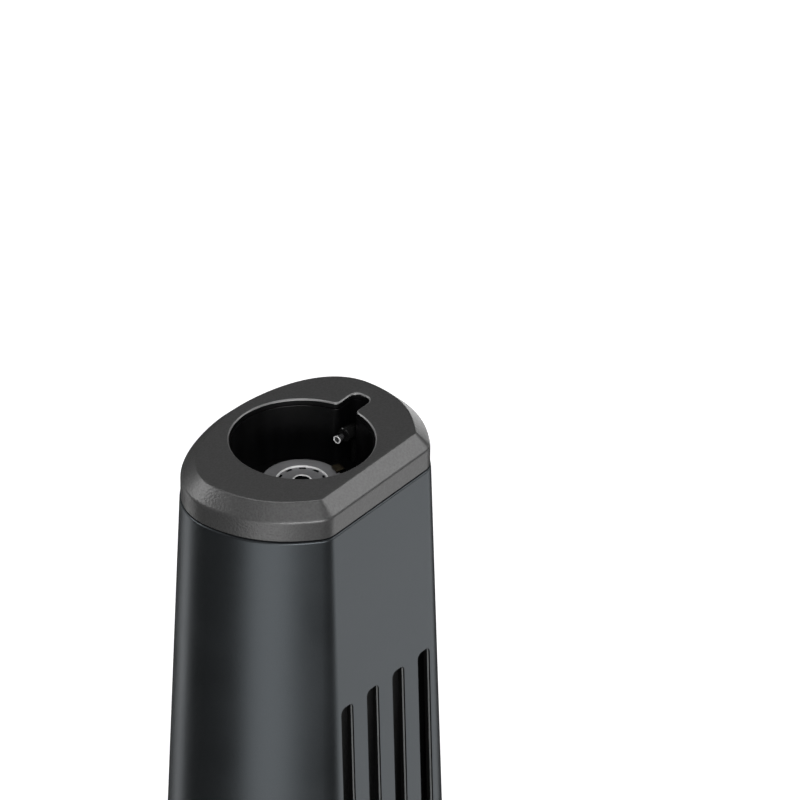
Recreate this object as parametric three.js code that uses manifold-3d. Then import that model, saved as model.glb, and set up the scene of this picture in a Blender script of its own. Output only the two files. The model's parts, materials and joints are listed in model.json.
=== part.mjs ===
// A hand-held butane torch that stands on its base, burner upwards.
// Millimetres, +Z up. The origin is the middle of the outline where the torch stands.
// -Y is the flat, vented side, +Y the rounded side with the trigger, +X the side of the electrode.
import * as THREE from 'three';
import { mergeVertices } from 'three/addons/utils/BufferGeometryUtils.js';
import Module from 'manifold-3d';

const wasm = await Module();
wasm.setup();

// ---- driving dimensions ----
const HEIGHT = 150;
const GAP = 0.3;

// The outline at the top face: a D with one flat side. Every other level is this outline, offset.
const TOP_HALF_WIDTH = 15.45;
const FLAT_DEPTH = 10.63;
const BACK_DEPTH = 10.57;
const FLAT_HALF = 9.7;
const CORNER_ANGLE = THREE.MathUtils.degToRad(40);
const SIDE_HANDLE = 5.1;
const SHOULDER_FULLNESS = 0.81;
const BACK_FULLNESS = 0.25;
const WIDEST_Y = 1;
const SIDE_STEPS = 6;
const BACK_STEPS = 8;

const CAP_HEIGHT = 4.5;
const CAP_CHAMFER_DROP = 1.86;
const CAP_CHAMFER_OUT = 1.9;
const CAP_BOTTOM_OUT = 1.88;
const BODY_TOP_OUT = 2;
const SPIGOT_DEPTH = 3.2;
const SPIGOT_WALL = 1;
const SPIGOT_JOIN = 0.5;
const TAPER = 0.0343;
const SHELL_WALL = 1;
// What slides inside the shell lies between these two depths behind its outside.
const SLIDING_FACE = -SHELL_WALL - 0.35;
const SLIDING_BACK = -SHELL_WALL - 1.6;
const SHELL_TOP = HEIGHT - CAP_HEIGHT - GAP;
const BASE_CAP_TOP = 7.4;
const SHELL_BOTTOM = BASE_CAP_TOP + GAP;

const SLOT_PITCH = 5.27;
const SLOT_COUNT = 4;
const SLOT_WIDTH = 2.5;
const SLOT_CORNER = 0.8;
const SLOT_TOP = 119.6;
const SLOT_BOTTOM = 60;
// The tools that cut windows start and end at these distances from the middle.
const WINDOW_NEAR = 8;
const WINDOW_FAR = 30;

// The bore, the notch beside it and the burner share one upright axis.
const AXIS_Y = -0.3;
const BORE_RADIUS = 9.12;
const NOTCH_WIDTH = 2.8;
const NOTCH_END = 12.7;
const NOTCH_CORNER = 1;
const LIP_DEPTH = 0.8;
const LINER_WALL = 0.5;
const LINER_PLAY = 0.1;
const LINER_FLOOR_THICKNESS = 0.8;
const LINER_TOP = HEIGHT - LIP_DEPTH - LINER_PLAY;
const LINER_FLOOR = 140.5;
const LINER_HOLE = 6.4;

const DISC_RADIUS = 3.4;
const DISC_TOP = 143.95;
const DISC_HOLE = 1;
const RING_RADIUS = 3.35;
const RING_WIDTH = 0.22;
const RING_HEIGHT = 0.18;
const FLANGE_RADIUS = 5.3;
const FLANGE_TOP = 143.7;
const FLANGE_THICKNESS = 0.7;
const TUBE_RADIUS = 4.6;
const TUBE_WALL = 0.8;
const TUBE_TOP = 142.7;
const TUBE_BOTTOM = 117;
const PORT_COUNT = 10;
const PORT_LENGTH = 0.36;
const PORT_WIDTH = 0.85;
const PORT_MIDDLE = 2.88;
const FLANGE_SKIRT_BOTTOM = 138;
const FLANGE_SKIRT_WALL = 0.4;
const AIR_HOLE_COUNT = 4;
const AIR_HOLE_RADIUS = 1.2;
const AIR_HOLE_Z = 124;

const HOLDER_BOTTOM = 110.9;
const HOLDER_SHOULDER = 115.2;
const HOLDER_TOP = 119.5;
const HOLDER_BORE = 1.65;
const HOLDER_THREAD = 3.7;
const HOLDER_SEAT = 5.2;
const HOLDER_NECK = 3.5;
const NUT_BOTTOM = 110.6;
const NUT_TOP = 113;
const NUT_RADIUS = 5;
const JET_BORE = 0.4;
const JET_CORE = 0.85;
const JET_BARB = 1.05;
const JET_BOTTOM = 105.6;
const JET_COLLAR_BOTTOM = 108.2;
const JET_COLLAR_TOP = 110.2;
const JET_TIP_BOTTOM = 121;
const JET_TIP_TOP = 122.5;

const ELECTRODE_TIP_X = 7.1;
const ELECTRODE_Z = 146.2;
const TIP_CUP_LENGTH = 0.45;
const TIP_CUP_RADIUS = 0.55;
const TIP_CUP_DEPTH = 0.3;
const TIP_HOLLOW_RADIUS = 0.37;
const TIP_NECK_RADIUS = 0.35;
const INSULATOR_X = 11.6;
const INSULATOR_RADIUS = 0.95;
const INSULATOR_BOTTOM = 120;
const INSULATOR_REACH = 3.1;
const INSULATOR_BEND = 2;
const TAB_HALF = 0.7;
const TAB_THICKNESS = 0.4;
const TAB_BOTTOM = 136;
const TAB_ANGLE = THREE.MathUtils.degToRad(-24);
const LEAD_RADIUS = 0.7;

const TANK_BOTTOM = 12;
const TANK_TOP = 69.3;
const TANK_WALL = 1.8;
const TANK_CLEARANCE = 0.4;
const LID_BOTTOM = 70.3;
const LID_TOP = 73;
const BLOCK_TOP = 81;
const BLOCK_HALF = 10.2;
const BLOCK_FRONT = -6.2;
const BLOCK_BACK = -0.2;
const BARB_BASE = 1.9;
const BARB_CORE = 0.85;
const BARB_RIDGE = 1.05;
const BARB_HEIGHT = 3.5;
const NEEDLE_BORE = 1.45;
const NEEDLE_BORE_TOP = 79;
const GAS_WAY = 0.4;
const STEM_BORE_BOTTOM = 75;
const HOSE_OUTER = 1.8;
const HOSE_INNER = 1.25;
const SCREW_POST = 2.6;
const SCREW_PILOT = 1.1;
const SMALL_SCREW_HOLE = 1;

const CHASSIS_HALF = 12;
const CHASSIS_WALL = 1.2;
const CHASSIS_FRONT = -10.6;
const CHASSIS_BACK = 6;
const CHASSIS_BOTTOM = LID_TOP + GAP;
const CHASSIS_TOP = 114.9;
const FRONT_WALL_TOP = 122;
const PLATE_THICKNESS = 1.6;
const SHELF_HALF = 4.3;
const SHELF_BOTTOM = 86.4;
const SHELF_TOP = 87.7;
const LIP_WALL = 1;
const BRIDGE_THICKNESS = 1.5;
const CHASSIS_FOOT_TOP = 74.8;
const JOIN = 0.5;

const TRIGGER_BOTTOM = 84;
const TRIGGER_TOP = 104;
const TRIGGER_HALF = 7;
const TRIGGER_CORNER = 2;
const TRIGGER_PROUD = 1.2;
const TRIGGER_FACE_Y = 8.5;
const FLANGE_MARGIN = 2;
const RIB_BOTTOM = 82.6;
const RIB_TOP = 84.2;
const RIB_LEFT = 4.7;
const RIB_RIGHT = 6.5;
const RIB_FRONT = 2.3;

const LOCK_BOTTOM = 111;
const LOCK_TOP = 120.2;
const LOCK_HALF = 4.2;
const LOCK_CORNER = 1;
const LOCK_TRAVEL = 3;
const LOCK_PROUD = 1;
const LOCK_GROOVE_COUNT = 3;
const LOCK_GROOVE_PITCH = 1.3;
const LOCK_GROOVE_DEPTH = 0.4;

const PIEZO_Z = 91;
const PIEZO_FRONT = 2.2;
const PIEZO_REAR = -6;
const PIEZO_HALF = 3;
const PIEZO_WALL = 0.5;
const PIEZO_END_WALL = 1.5;
const PIEZO_TERMINAL_Y = -4.8;
const PLUNGER_HALF = 2.2;
const PLUNGER_REAR = -0.6;

const PIVOT_Y = 0.8;
const PIVOT_Z = 93;
const PIN_RADIUS = 0.75;
const PIN_START = 3.4;
const PIN_HEAD_RADIUS = 1.4;
const PIN_HEAD_THICKNESS = 0.9;
const LEVER_LEFT = 5;
const LEVER_RIGHT = 10.2;
const LEVER_HUB_RADIUS = 2;
const LEVER_WALL = 1.1;
const STEM_X = 7.6;
const STEM_Y = -3.2;
const STEM_RADIUS = 1.1;
const STEM_BOTTOM = 75.6;
const STEM_TOP = 101;
const COLLAR_RADIUS = 2.5;
const COLLAR_BOTTOM = 94.9;
const COLLAR_TOP = 96.4;
const BRIDGE_BOTTOM = 102.7;
const VALVE_SCREWS = [[-2.5, STEM_Y], [2.3, STEM_Y]];
const CHASSIS_SCREWS = [[-4, -7.8], [4, -7.8]];

const ROD_X = -7;
const ROD_Y = -3.2;
const ROD_RADIUS = 1.25;
const REFILL_X = 8;
const REFILL_Y = AXIS_Y;
const KNOB_RADIUS = 4.2;
const KNOB_BOTTOM = 1.7;
const KNOB_TOP = 5;
const KNOB_HUB_RADIUS = 2.4;
const KNOB_HUB_TOP = 9;
const ROD_BOTTOM = 5.9;
const ROD_SHOULDER = 77;
const ROD_TOP = 78.6;
const NEEDLE_RADIUS = 0.3;
const SEAL_BOTTOM = 71;
const SEAL_TOP = 72.2;
const SEAL_RADIUS = 2.2;
const WELL_RADIUS = 4.6;
const BASE_SCREW_Y = 8.3;
const FOOT_DEPTH = 1.3;
const BASE_UNDERSIDE = 0.6;
const BASE_PLATE_TOP = 3.4;
const PLATE_OUT = 4.5;
const LEDGE_OUT = 3.2;
const LEDGE_THICKNESS = 1.2;
const BASE_SHOULDER = 1.8;
const BASE_BEVEL = 1.2;
const BASE_SPIGOT_TOP = 11.4;
const BASE_SPIGOT_WALL = 1.2;
const FOOT_SEAT_OUT = 0.7;
const BOSS_RADIUS = 2.8;
const BOSS_HOLE = 1.3;
const BOSS_RECESS = 2.2;
const BOSS_RECESS_TOP = 2.6;
const FOOT_OUTER_OUT = 4;
const FOOT_INNER_OUT = 1;

// The refill valve: a flanged body, a cage that holds the spring, and the stem that is pushed in.
const REFILL_BOTTOM = 5;
const REFILL_TOP = 20;
const REFILL_BORE = 1.25;
const REFILL_CHAMBER = 2.1;
const REFILL_OUTER = 3;
const REFILL_FLANGE = 4;
const REFILL_FLANGE_BOTTOM = 9.2;
const REFILL_FLANGE_TOP = 11.7;
const REFILL_CHAMBER_BOTTOM = 11;
const REFILL_CAGE_TOP = 21.5;
const REFILL_STEM_BOTTOM = 4.2;
const REFILL_STEM_RADIUS = 0.95;
const REFILL_COLLAR_BOTTOM = 11.3;
const REFILL_COLLAR_TOP = 12.5;
const REFILL_COLLAR_RADIUS = 1.8;
const REFILL_GUIDE_RADIUS = 0.7;
const REFILL_GUIDE_TOP = 18.4;

const HEAD_HEIGHT = 1.1;
const LID_SCREW_END = 71.4;
const BASE_SCREW = { under: 2.3, end: 18, headRadius: 2, shankRadius: 0.95 };
const VALVE_SCREW = { under: BLOCK_TOP + GAP, end: LID_SCREW_END, headRadius: 1.7, shankRadius: 0.75 };
const CHASSIS_SCREW = {
  under: CHASSIS_FOOT_TOP + GAP, end: LID_SCREW_END, headRadius: 1.25, shankRadius: 0.75,
};

// ---- materials ----
function finish(color, roughness, metalness) {
  return () => new THREE.MeshStandardMaterial({ color, roughness, metalness });
}

const gunmetal = finish(0x55595c, 0.38, 0.8);
const darkZinc = finish(0x3a3b3c, 0.62, 0.5);
const blackSteel = finish(0x101011, 0.4, 0.5);
const blackPlastic = finish(0x151617, 0.6, 0);
const smokePlastic = finish(0x1d2226, 0.3, 0);
const steel = finish(0x9a9ea3, 0.3, 1);
const brass = finish(0xb08d4a, 0.35, 1);
const ceramic = finish(0x3b3a38, 0.25, 0);
const redCable = finish(0x8a1f1c, 0.5, 0);
const rubber = finish(0x0f0f10, 0.85, 0);

// ---- geometry helpers ----
function faceOutward(geometry) {
  const position = geometry.getAttribute('position');
  const index = geometry.getIndex().array;
  const [a, b, c] = [new THREE.Vector3(), new THREE.Vector3(), new THREE.Vector3()];
  let volume = 0;
  for (let i = 0; i < index.length; i += 3) {
    a.fromBufferAttribute(position, index[i]);
    b.fromBufferAttribute(position, index[i + 1]);
    c.fromBufferAttribute(position, index[i + 2]);
    volume += a.dot(b.cross(c));
  }
  if (volume < 0) {
    for (let i = 0; i < index.length; i += 3) {
      [index[i + 1], index[i + 2]] = [index[i + 2], index[i + 1]];
    }
  }
  return geometry;
}

function solid(geometry) {
  const bare = geometry.clone();
  bare.deleteAttribute('normal');
  bare.deleteAttribute('uv');
  const merged = faceOutward(mergeVertices(bare));
  const vertProperties = new Float32Array(merged.getAttribute('position').array);
  const triVerts = new Uint32Array(merged.getIndex().array);
  return new wasm.Manifold(new wasm.Mesh({ numProp: 3, vertProperties, triVerts }));
}

function union(...parts) {
  return parts.reduce((whole, part) => whole.add(part));
}

function cut(body, ...tools) {
  return tools.reduce((rest, tool) => rest.subtract(tool), body);
}

// A block between two opposite corners.
function slab(low, high) {
  const size = high.map((value, i) => value - low[i]);
  const geometry = new THREE.BoxGeometry(...size);
  geometry.translate(...low.map((value, i) => value + size[i] / 2));
  return solid(geometry);
}

// An upright round rod.
function rod(radius, bottom, top, x, y, sides = 18) {
  const geometry = new THREE.CylinderGeometry(radius, radius, top - bottom, sides);
  geometry.rotateX(Math.PI / 2);
  geometry.translate(x, y, (bottom + top) / 2);
  return solid(geometry);
}

// A round rod that lies along X or along Y.
function rodX(radius, left, right, y, z, sides = 18) {
  const geometry = new THREE.CylinderGeometry(radius, radius, right - left, sides);
  geometry.rotateZ(Math.PI / 2);
  geometry.translate((left + right) / 2, y, z);
  return solid(geometry);
}

// A turned piece: [radius, height] points around the upright line through x, y.
function turned(profile, x, y, sides = 18) {
  const points = profile.map(([radius, height]) => new THREE.Vector2(radius, height));
  const closed = points[0].x > 0 ? [...points, points[0].clone()] : points;
  const geometry = new THREE.LatheGeometry(closed, sides);
  geometry.rotateX(Math.PI / 2);
  geometry.translate(x, y, 0);
  return solid(geometry);
}

// A washer, sleeve or straight pipe.
function ring(inner, outer, bottom, top, x, y, sides = 20) {
  return turned([[inner, bottom], [outer, bottom], [outer, top], [inner, top]], x, y, sides);
}

function roundedRectangle(halfWidth, bottom, top, radius) {
  const shape = new THREE.Shape();
  shape.moveTo(-halfWidth + radius, bottom);
  shape.lineTo(halfWidth - radius, bottom);
  shape.absarc(halfWidth - radius, bottom + radius, radius, -Math.PI / 2, 0);
  shape.lineTo(halfWidth, top - radius);
  shape.absarc(halfWidth - radius, top - radius, radius, 0, Math.PI / 2);
  shape.lineTo(-halfWidth + radius, top);
  shape.absarc(-halfWidth + radius, top - radius, radius, Math.PI / 2, Math.PI);
  shape.lineTo(-halfWidth, bottom + radius);
  shape.absarc(-halfWidth + radius, bottom + radius, radius, Math.PI, 1.5 * Math.PI);
  return shape;
}

// A rounded window seen from the front or back, run through from y0 to y1.
function windowPrism(centreX, halfWidth, bottom, top, radius, y0, y1) {
  const shape = roundedRectangle(halfWidth, bottom, top, radius);
  const geometry = new THREE.ExtrudeGeometry(shape, { depth: y1 - y0, bevelEnabled: false, curveSegments: 3 });
  geometry.rotateX(Math.PI / 2);
  geometry.translate(centreX, y1, 0);
  return solid(geometry);
}

// A round section run along a curve, with an optional hole along its middle.
function tube(curve, radius, hole, sides, steps) {
  const shape = new THREE.Shape();
  shape.absarc(0, 0, radius, 0, 2 * Math.PI);
  if (hole > 0) {
    const inner = new THREE.Path();
    inner.absarc(0, 0, hole, 0, 2 * Math.PI, true);
    shape.holes.push(inner);
  }
  const options = { steps, extrudePath: curve, bevelEnabled: false, curveSegments: sides / 2 };
  return solid(new THREE.ExtrudeGeometry(shape, options));
}

class HelixCurve extends THREE.Curve {
  constructor(radius, length, turns) {
    super();
    Object.assign(this, { radius, length, turns });
  }

  getPoint(t, target = new THREE.Vector3()) {
    const angle = 2 * Math.PI * this.turns * t;
    return target.set(this.radius * Math.cos(angle), this.radius * Math.sin(angle), this.length * t);
  }
}

const COIL_STEPS_PER_TURN = 10;
const WIRE_SIDES = 4;

function coilSpring(radius, wire, length, turns) {
  const curve = new HelixCurve(radius, length - 2 * wire, turns);
  const shape = new THREE.Shape();
  shape.absarc(0, 0, wire, 0, 2 * Math.PI);
  const steps = Math.round(turns * COIL_STEPS_PER_TURN);
  const options = { steps, extrudePath: curve, bevelEnabled: false, curveSegments: WIRE_SIDES / 2 };
  const geometry = new THREE.ExtrudeGeometry(shape, options);
  geometry.translate(0, 0, wire);
  return geometry;
}

// ---- the D outline and lofts made from it ----
function topOutline() {
  const half = [new THREE.Vector2(FLAT_HALF, -FLAT_DEPTH)];
  const side = new THREE.CubicBezierCurve(
    half[0],
    new THREE.Vector2(
      FLAT_HALF + SIDE_HANDLE * Math.cos(CORNER_ANGLE),
      -FLAT_DEPTH + SIDE_HANDLE * Math.sin(CORNER_ANGLE),
    ),
    new THREE.Vector2(TOP_HALF_WIDTH, WIDEST_Y - SIDE_HANDLE),
    new THREE.Vector2(TOP_HALF_WIDTH, WIDEST_Y),
  );
  const back = new THREE.CubicBezierCurve(
    new THREE.Vector2(TOP_HALF_WIDTH, WIDEST_Y),
    new THREE.Vector2(TOP_HALF_WIDTH, WIDEST_Y + SHOULDER_FULLNESS * (BACK_DEPTH - WIDEST_Y)),
    new THREE.Vector2(BACK_FULLNESS * TOP_HALF_WIDTH, BACK_DEPTH),
    new THREE.Vector2(0, BACK_DEPTH),
  );
  half.push(...side.getPoints(SIDE_STEPS).slice(1), ...back.getPoints(BACK_STEPS).slice(1));
  const mirrored = half.slice(0, -1).reverse().map((point) => new THREE.Vector2(-point.x, point.y));
  return [...half, ...mirrored];
}

const OUTLINE = topOutline();

// The direction in which each outline point moves, so that every edge moves out by the same amount.
function outwardMoves(points) {
  return points.map((point, i) => {
    const before = points[(i + points.length - 1) % points.length];
    const after = points[(i + 1) % points.length];
    const a = point.clone().sub(before).normalize();
    const b = after.clone().sub(point).normalize();
    const normal = new THREE.Vector2(a.y + b.y, -a.x - b.x).normalize();
    return normal.divideScalar(normal.x * a.y - normal.y * a.x);
  });
}

const MOVES = outwardMoves(OUTLINE);

// A closed D-shaped body through levels of [height, offset], lowest first.
function loft(levels) {
  const shape = new THREE.Shape(OUTLINE);
  const steps = levels.length - 1;
  const geometry = new THREE.ExtrudeGeometry(shape, { depth: steps, steps, bevelEnabled: false });
  const position = geometry.getAttribute('position');
  for (let i = 0; i < position.count; i += 1) {
    const here = new THREE.Vector2(position.getX(i), position.getY(i));
    const k = OUTLINE.findIndex((point) => point.distanceTo(here) < 1e-3);
    const [height, offset] = levels[Math.round(position.getZ(i))];
    position.setXYZ(i, here.x + MOVES[k].x * offset, here.y + MOVES[k].y * offset, height);
  }
  return solid(geometry);
}

// How far the body's outside stands out from the top outline at a height.
function bodyOffset(height) {
  return BODY_TOP_OUT + TAPER * (SHELL_TOP - height);
}

// The tapered body between two heights, moved in or out by some amount.
function bodyLoft(bottom, top, extra) {
  return loft([[bottom, bodyOffset(bottom) + extra], [top, bodyOffset(top) + extra]]);
}

// The part of a skin of the body between two depths that lies inside a box.
function skinPatch(outerExtra, innerExtra, halfWidth, bottom, top) {
  const margin = 1;
  const reach = 40;
  const skin = cut(
    bodyLoft(bottom - margin, top + margin, outerExtra),
    bodyLoft(bottom - 2 * margin, top + 2 * margin, innerExtra),
  );
  return skin.intersect(slab([-halfWidth, 0, bottom], [halfWidth, reach, top]));
}

// ---- the outside ----
function bodyShell() {
  const outside = bodyLoft(SHELL_BOTTOM, SHELL_TOP, 0);
  const inside = bodyLoft(SHELL_BOTTOM - 1, SHELL_TOP + 1, -SHELL_WALL);
  const slots = [];
  for (let i = 0; i < SLOT_COUNT; i += 1) {
    const x = (i - (SLOT_COUNT - 1) / 2) * SLOT_PITCH;
    slots.push(windowPrism(x, SLOT_WIDTH / 2, SLOT_BOTTOM, SLOT_TOP, SLOT_CORNER, -WINDOW_FAR, -WINDOW_NEAR));
  }
  const windows = [
    [TRIGGER_HALF, TRIGGER_BOTTOM, TRIGGER_TOP, TRIGGER_CORNER],
    [LOCK_HALF, LOCK_BOTTOM, LOCK_TOP, LOCK_CORNER],
  ].map((sides) => windowPrism(0, ...sides, WINDOW_NEAR, WINDOW_FAR));
  return cut(outside, inside, ...slots, ...windows);
}

// The bore with its side notch, as a tool that is wider than the real opening by extra.
function boreTool(extra, bottom, top) {
  const round = rod(BORE_RADIUS + extra, bottom, top, 0, AXIS_Y, 36);
  const half = NOTCH_WIDTH / 2 + extra;
  const shape = new THREE.Shape();
  const end = NOTCH_END + extra;
  shape.moveTo(0, -half);
  shape.lineTo(end - NOTCH_CORNER, -half);
  shape.absarc(end - NOTCH_CORNER, -half + NOTCH_CORNER, NOTCH_CORNER, -Math.PI / 2, 0);
  shape.absarc(end - NOTCH_CORNER, half - NOTCH_CORNER, NOTCH_CORNER, 0, Math.PI / 2);
  shape.lineTo(0, half);
  const options = { depth: top - bottom, bevelEnabled: false, curveSegments: 3 };
  const notch = new THREE.ExtrudeGeometry(shape, options);
  notch.translate(0, AXIS_Y, bottom);
  return round.add(solid(notch));
}

function topCap() {
  const bottom = HEIGHT - CAP_HEIGHT;
  const crown = loft([
    [bottom, CAP_BOTTOM_OUT],
    [HEIGHT - CAP_CHAMFER_DROP, CAP_CHAMFER_OUT],
    [HEIGHT, 0],
  ]);
  const spigotOffset = BODY_TOP_OUT - SHELL_WALL - GAP;
  const spigot = cut(
    loft([[bottom - SPIGOT_DEPTH, spigotOffset], [bottom + SPIGOT_JOIN, spigotOffset]]),
    loft([[bottom - SPIGOT_DEPTH - 1, spigotOffset - SPIGOT_WALL], [bottom, spigotOffset - SPIGOT_WALL]]),
  );
  const bore = boreTool(0, bottom - 1, HEIGHT + 1);
  const counterbore = boreTool(LINER_WALL + LINER_PLAY, bottom - 1, HEIGHT - LIP_DEPTH);
  return cut(union(crown, spigot), bore, counterbore);
}

function boreLiner() {
  const outer = boreTool(LINER_WALL - LINER_PLAY, LINER_FLOOR, LINER_TOP);
  const inner = boreTool(-LINER_PLAY, LINER_FLOOR + LINER_FLOOR_THICKNESS, LINER_TOP + 1);
  const burnerHole = rod(LINER_HOLE, LINER_FLOOR - 1, LINER_FLOOR + 2, 0, AXIS_Y);
  const wireHole = rod(INSULATOR_RADIUS + GAP, LINER_FLOOR - 1, LINER_FLOOR + 2, INSULATOR_X, AXIS_Y);
  return cut(outer, inner, burnerHole, wireHole);
}

function baseCap() {
  const ledgeTop = BASE_PLATE_TOP + GAP + LEDGE_THICKNESS;
  const outside = loft([
    [BASE_UNDERSIDE, bodyOffset(BASE_SHOULDER) - BASE_BEVEL],
    [BASE_SHOULDER, bodyOffset(BASE_SHOULDER)],
    [BASE_CAP_TOP, bodyOffset(BASE_CAP_TOP)],
  ]);
  const spigotFace = -SHELL_WALL - GAP;
  const spigot = bodyLoft(BASE_CAP_TOP - 1, BASE_SPIGOT_TOP, spigotFace);
  const hollow = bodyLoft(ledgeTop, BASE_SPIGOT_TOP + 1, spigotFace - BASE_SPIGOT_WALL);
  const plateSeat = loft([[-1, PLATE_OUT + 0.1], [BASE_PLATE_TOP + 0.1, PLATE_OUT + 0.1]]);
  const ledgeHole = loft([[BASE_PLATE_TOP - 1, LEDGE_OUT], [ledgeTop + 1, LEDGE_OUT]]);
  return cut(union(outside, spigot), hollow, plateSeat, ledgeHole);
}

// The plate that closes the base, with the wells of the refill valve and of the flame adjuster.
function basePlate() {
  let plate = union(
    loft([[BASE_UNDERSIDE, FOOT_SEAT_OUT], [FOOT_DEPTH + 1, FOOT_SEAT_OUT]]),
    loft([[FOOT_DEPTH + GAP, PLATE_OUT], [BASE_PLATE_TOP, PLATE_OUT]]),
  );
  for (const y of [-BASE_SCREW_Y, BASE_SCREW_Y]) {
    const hole = rod(BOSS_HOLE, -1, TANK_BOTTOM + 1, 0, y);
    const recess = rod(BOSS_RECESS, -1, BOSS_RECESS_TOP, 0, y);
    plate = plate.add(rod(BOSS_RADIUS, BASE_PLATE_TOP - JOIN, TANK_BOTTOM - GAP, 0, y));
    plate = cut(plate, hole, recess);
  }
  const refillWell = rod(WELL_RADIUS, -1, BASE_PLATE_TOP + 1, REFILL_X, REFILL_Y);
  const knobWell = rod(WELL_RADIUS, -1, BASE_PLATE_TOP + 1, ROD_X, ROD_Y);
  return cut(plate, refillWell, knobWell);
}

function footRing() {
  const outside = loft([[0, FOOT_OUTER_OUT], [FOOT_DEPTH, FOOT_OUTER_OUT]]);
  const inside = loft([[-1, FOOT_INNER_OUT], [FOOT_DEPTH + 1, FOOT_INNER_OUT]]);
  return cut(outside, inside);
}

// A cross-recessed screw: its shank runs from under the head to its end.
function screw(x, y, { under, end, headRadius, shankRadius }) {
  const upwards = end > under;
  const headFar = under + (upwards ? -HEAD_HEIGHT : HEAD_HEIGHT);
  const [low, high] = [Math.min(headFar, under), Math.max(headFar, under)];
  const head = rod(headRadius, low, high, x, y, 16);
  const root = (low + high) / 2;
  const shank = rod(shankRadius, Math.min(root, end), Math.max(root, end), x, y, 12);
  const recess = HEAD_HEIGHT * 0.4;
  const arm = headRadius * 0.6;
  const slotHalf = headRadius * 0.14;
  const [z0, z1] = upwards ? [low - 1, low + recess] : [high - recess, high + 1];
  const cross = union(
    slab([x - arm, y - slotHalf, z0], [x + arm, y + slotHalf, z1]),
    slab([x - slotHalf, y - arm, z0], [x + slotHalf, y + arm, z1]),
  );
  return cut(union(head, shank), cross);
}

// ---- burner ----
function burnerTube() {
  let pipe = ring(TUBE_RADIUS - TUBE_WALL, TUBE_RADIUS, TUBE_BOTTOM, TUBE_TOP, 0, AXIS_Y);
  for (let i = 0; i < AIR_HOLE_COUNT; i += 1) {
    const hole = new THREE.CylinderGeometry(AIR_HOLE_RADIUS, AIR_HOLE_RADIUS, TUBE_RADIUS + 1, 10);
    hole.rotateZ(Math.PI / 2);
    hole.translate((TUBE_RADIUS + 1) / 2, 0, 0);
    hole.rotateZ((i + 0.5) * 2 * Math.PI / AIR_HOLE_COUNT);
    hole.translate(0, AXIS_Y, AIR_HOLE_Z);
    pipe = cut(pipe, solid(hole));
  }
  return pipe;
}

function flameDisc() {
  const plateTop = DISC_TOP - RING_HEIGHT;
  const shoulder = FLANGE_TOP - FLANGE_THICKNESS - 0.1;
  let disc = turned([
    [DISC_HOLE, TUBE_TOP - 1], [DISC_RADIUS, TUBE_TOP - 1], [DISC_RADIUS, shoulder], [RING_RADIUS, shoulder],
    [RING_RADIUS, DISC_TOP], [RING_RADIUS - RING_WIDTH, DISC_TOP], [RING_RADIUS - RING_WIDTH, plateTop],
    [DISC_HOLE + RING_WIDTH, plateTop], [DISC_HOLE + RING_WIDTH, DISC_TOP], [DISC_HOLE, DISC_TOP],
  ], 0, AXIS_Y, 30);
  for (let i = 0; i < PORT_COUNT; i += 1) {
    const port = new THREE.BoxGeometry(PORT_LENGTH, PORT_WIDTH, 2 * (TUBE_TOP - TUBE_BOTTOM));
    port.translate(PORT_MIDDLE, 0, TUBE_TOP);
    port.rotateZ(i * 2 * Math.PI / PORT_COUNT);
    port.translate(0, AXIS_Y, 0);
    disc = cut(disc, solid(port));
  }
  return disc;
}

function burnerFlange() {
  const underside = FLANGE_TOP - FLANGE_THICKNESS;
  const skirtInside = FLANGE_RADIUS - FLANGE_SKIRT_WALL;
  return turned([
    [RING_RADIUS + GAP, underside], [skirtInside, underside], [skirtInside, FLANGE_SKIRT_BOTTOM],
    [FLANGE_RADIUS, FLANGE_SKIRT_BOTTOM], [FLANGE_RADIUS, FLANGE_TOP], [RING_RADIUS + GAP, FLANGE_TOP],
  ], 0, AXIS_Y, 30);
}

function jetHolder() {
  const seatTop = TUBE_BOTTOM - GAP;
  return turned([
    [HOLDER_BORE, HOLDER_BOTTOM], [HOLDER_THREAD, HOLDER_BOTTOM], [HOLDER_THREAD, HOLDER_SHOULDER],
    [HOLDER_SEAT, HOLDER_SHOULDER], [HOLDER_SEAT, seatTop], [HOLDER_NECK, seatTop],
    [HOLDER_NECK, HOLDER_TOP], [HOLDER_BORE, HOLDER_TOP],
  ], 0, AXIS_Y, 20);
}

function jetNut() {
  const hexagon = rod(NUT_RADIUS, NUT_BOTTOM, NUT_TOP, 0, AXIS_Y, 6);
  return cut(hexagon, rod(HOLDER_THREAD + 0.2, NUT_BOTTOM - 1, NUT_TOP + 1, 0, AXIS_Y, 28));
}

// The jet: a barbed tail for the hose, a collar, and a long pipe that ends in a cone.
function gasJet() {
  const pipe = HOLDER_BORE - 0.2;
  return turned([
    [JET_BORE, JET_BOTTOM], [JET_CORE - 0.05, JET_BOTTOM], [JET_BARB, JET_BOTTOM + 0.8],
    [JET_CORE, JET_BOTTOM + 0.8], [JET_BARB, JET_BOTTOM + 1.8], [JET_CORE, JET_BOTTOM + 1.8],
    [JET_CORE, JET_COLLAR_BOTTOM], [2.4, JET_COLLAR_BOTTOM], [2.4, JET_COLLAR_TOP],
    [pipe, JET_COLLAR_TOP], [pipe, JET_TIP_BOTTOM], [0.8, JET_TIP_TOP], [JET_BORE, JET_TIP_TOP],
  ], 0, AXIS_Y, 20);
}

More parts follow.
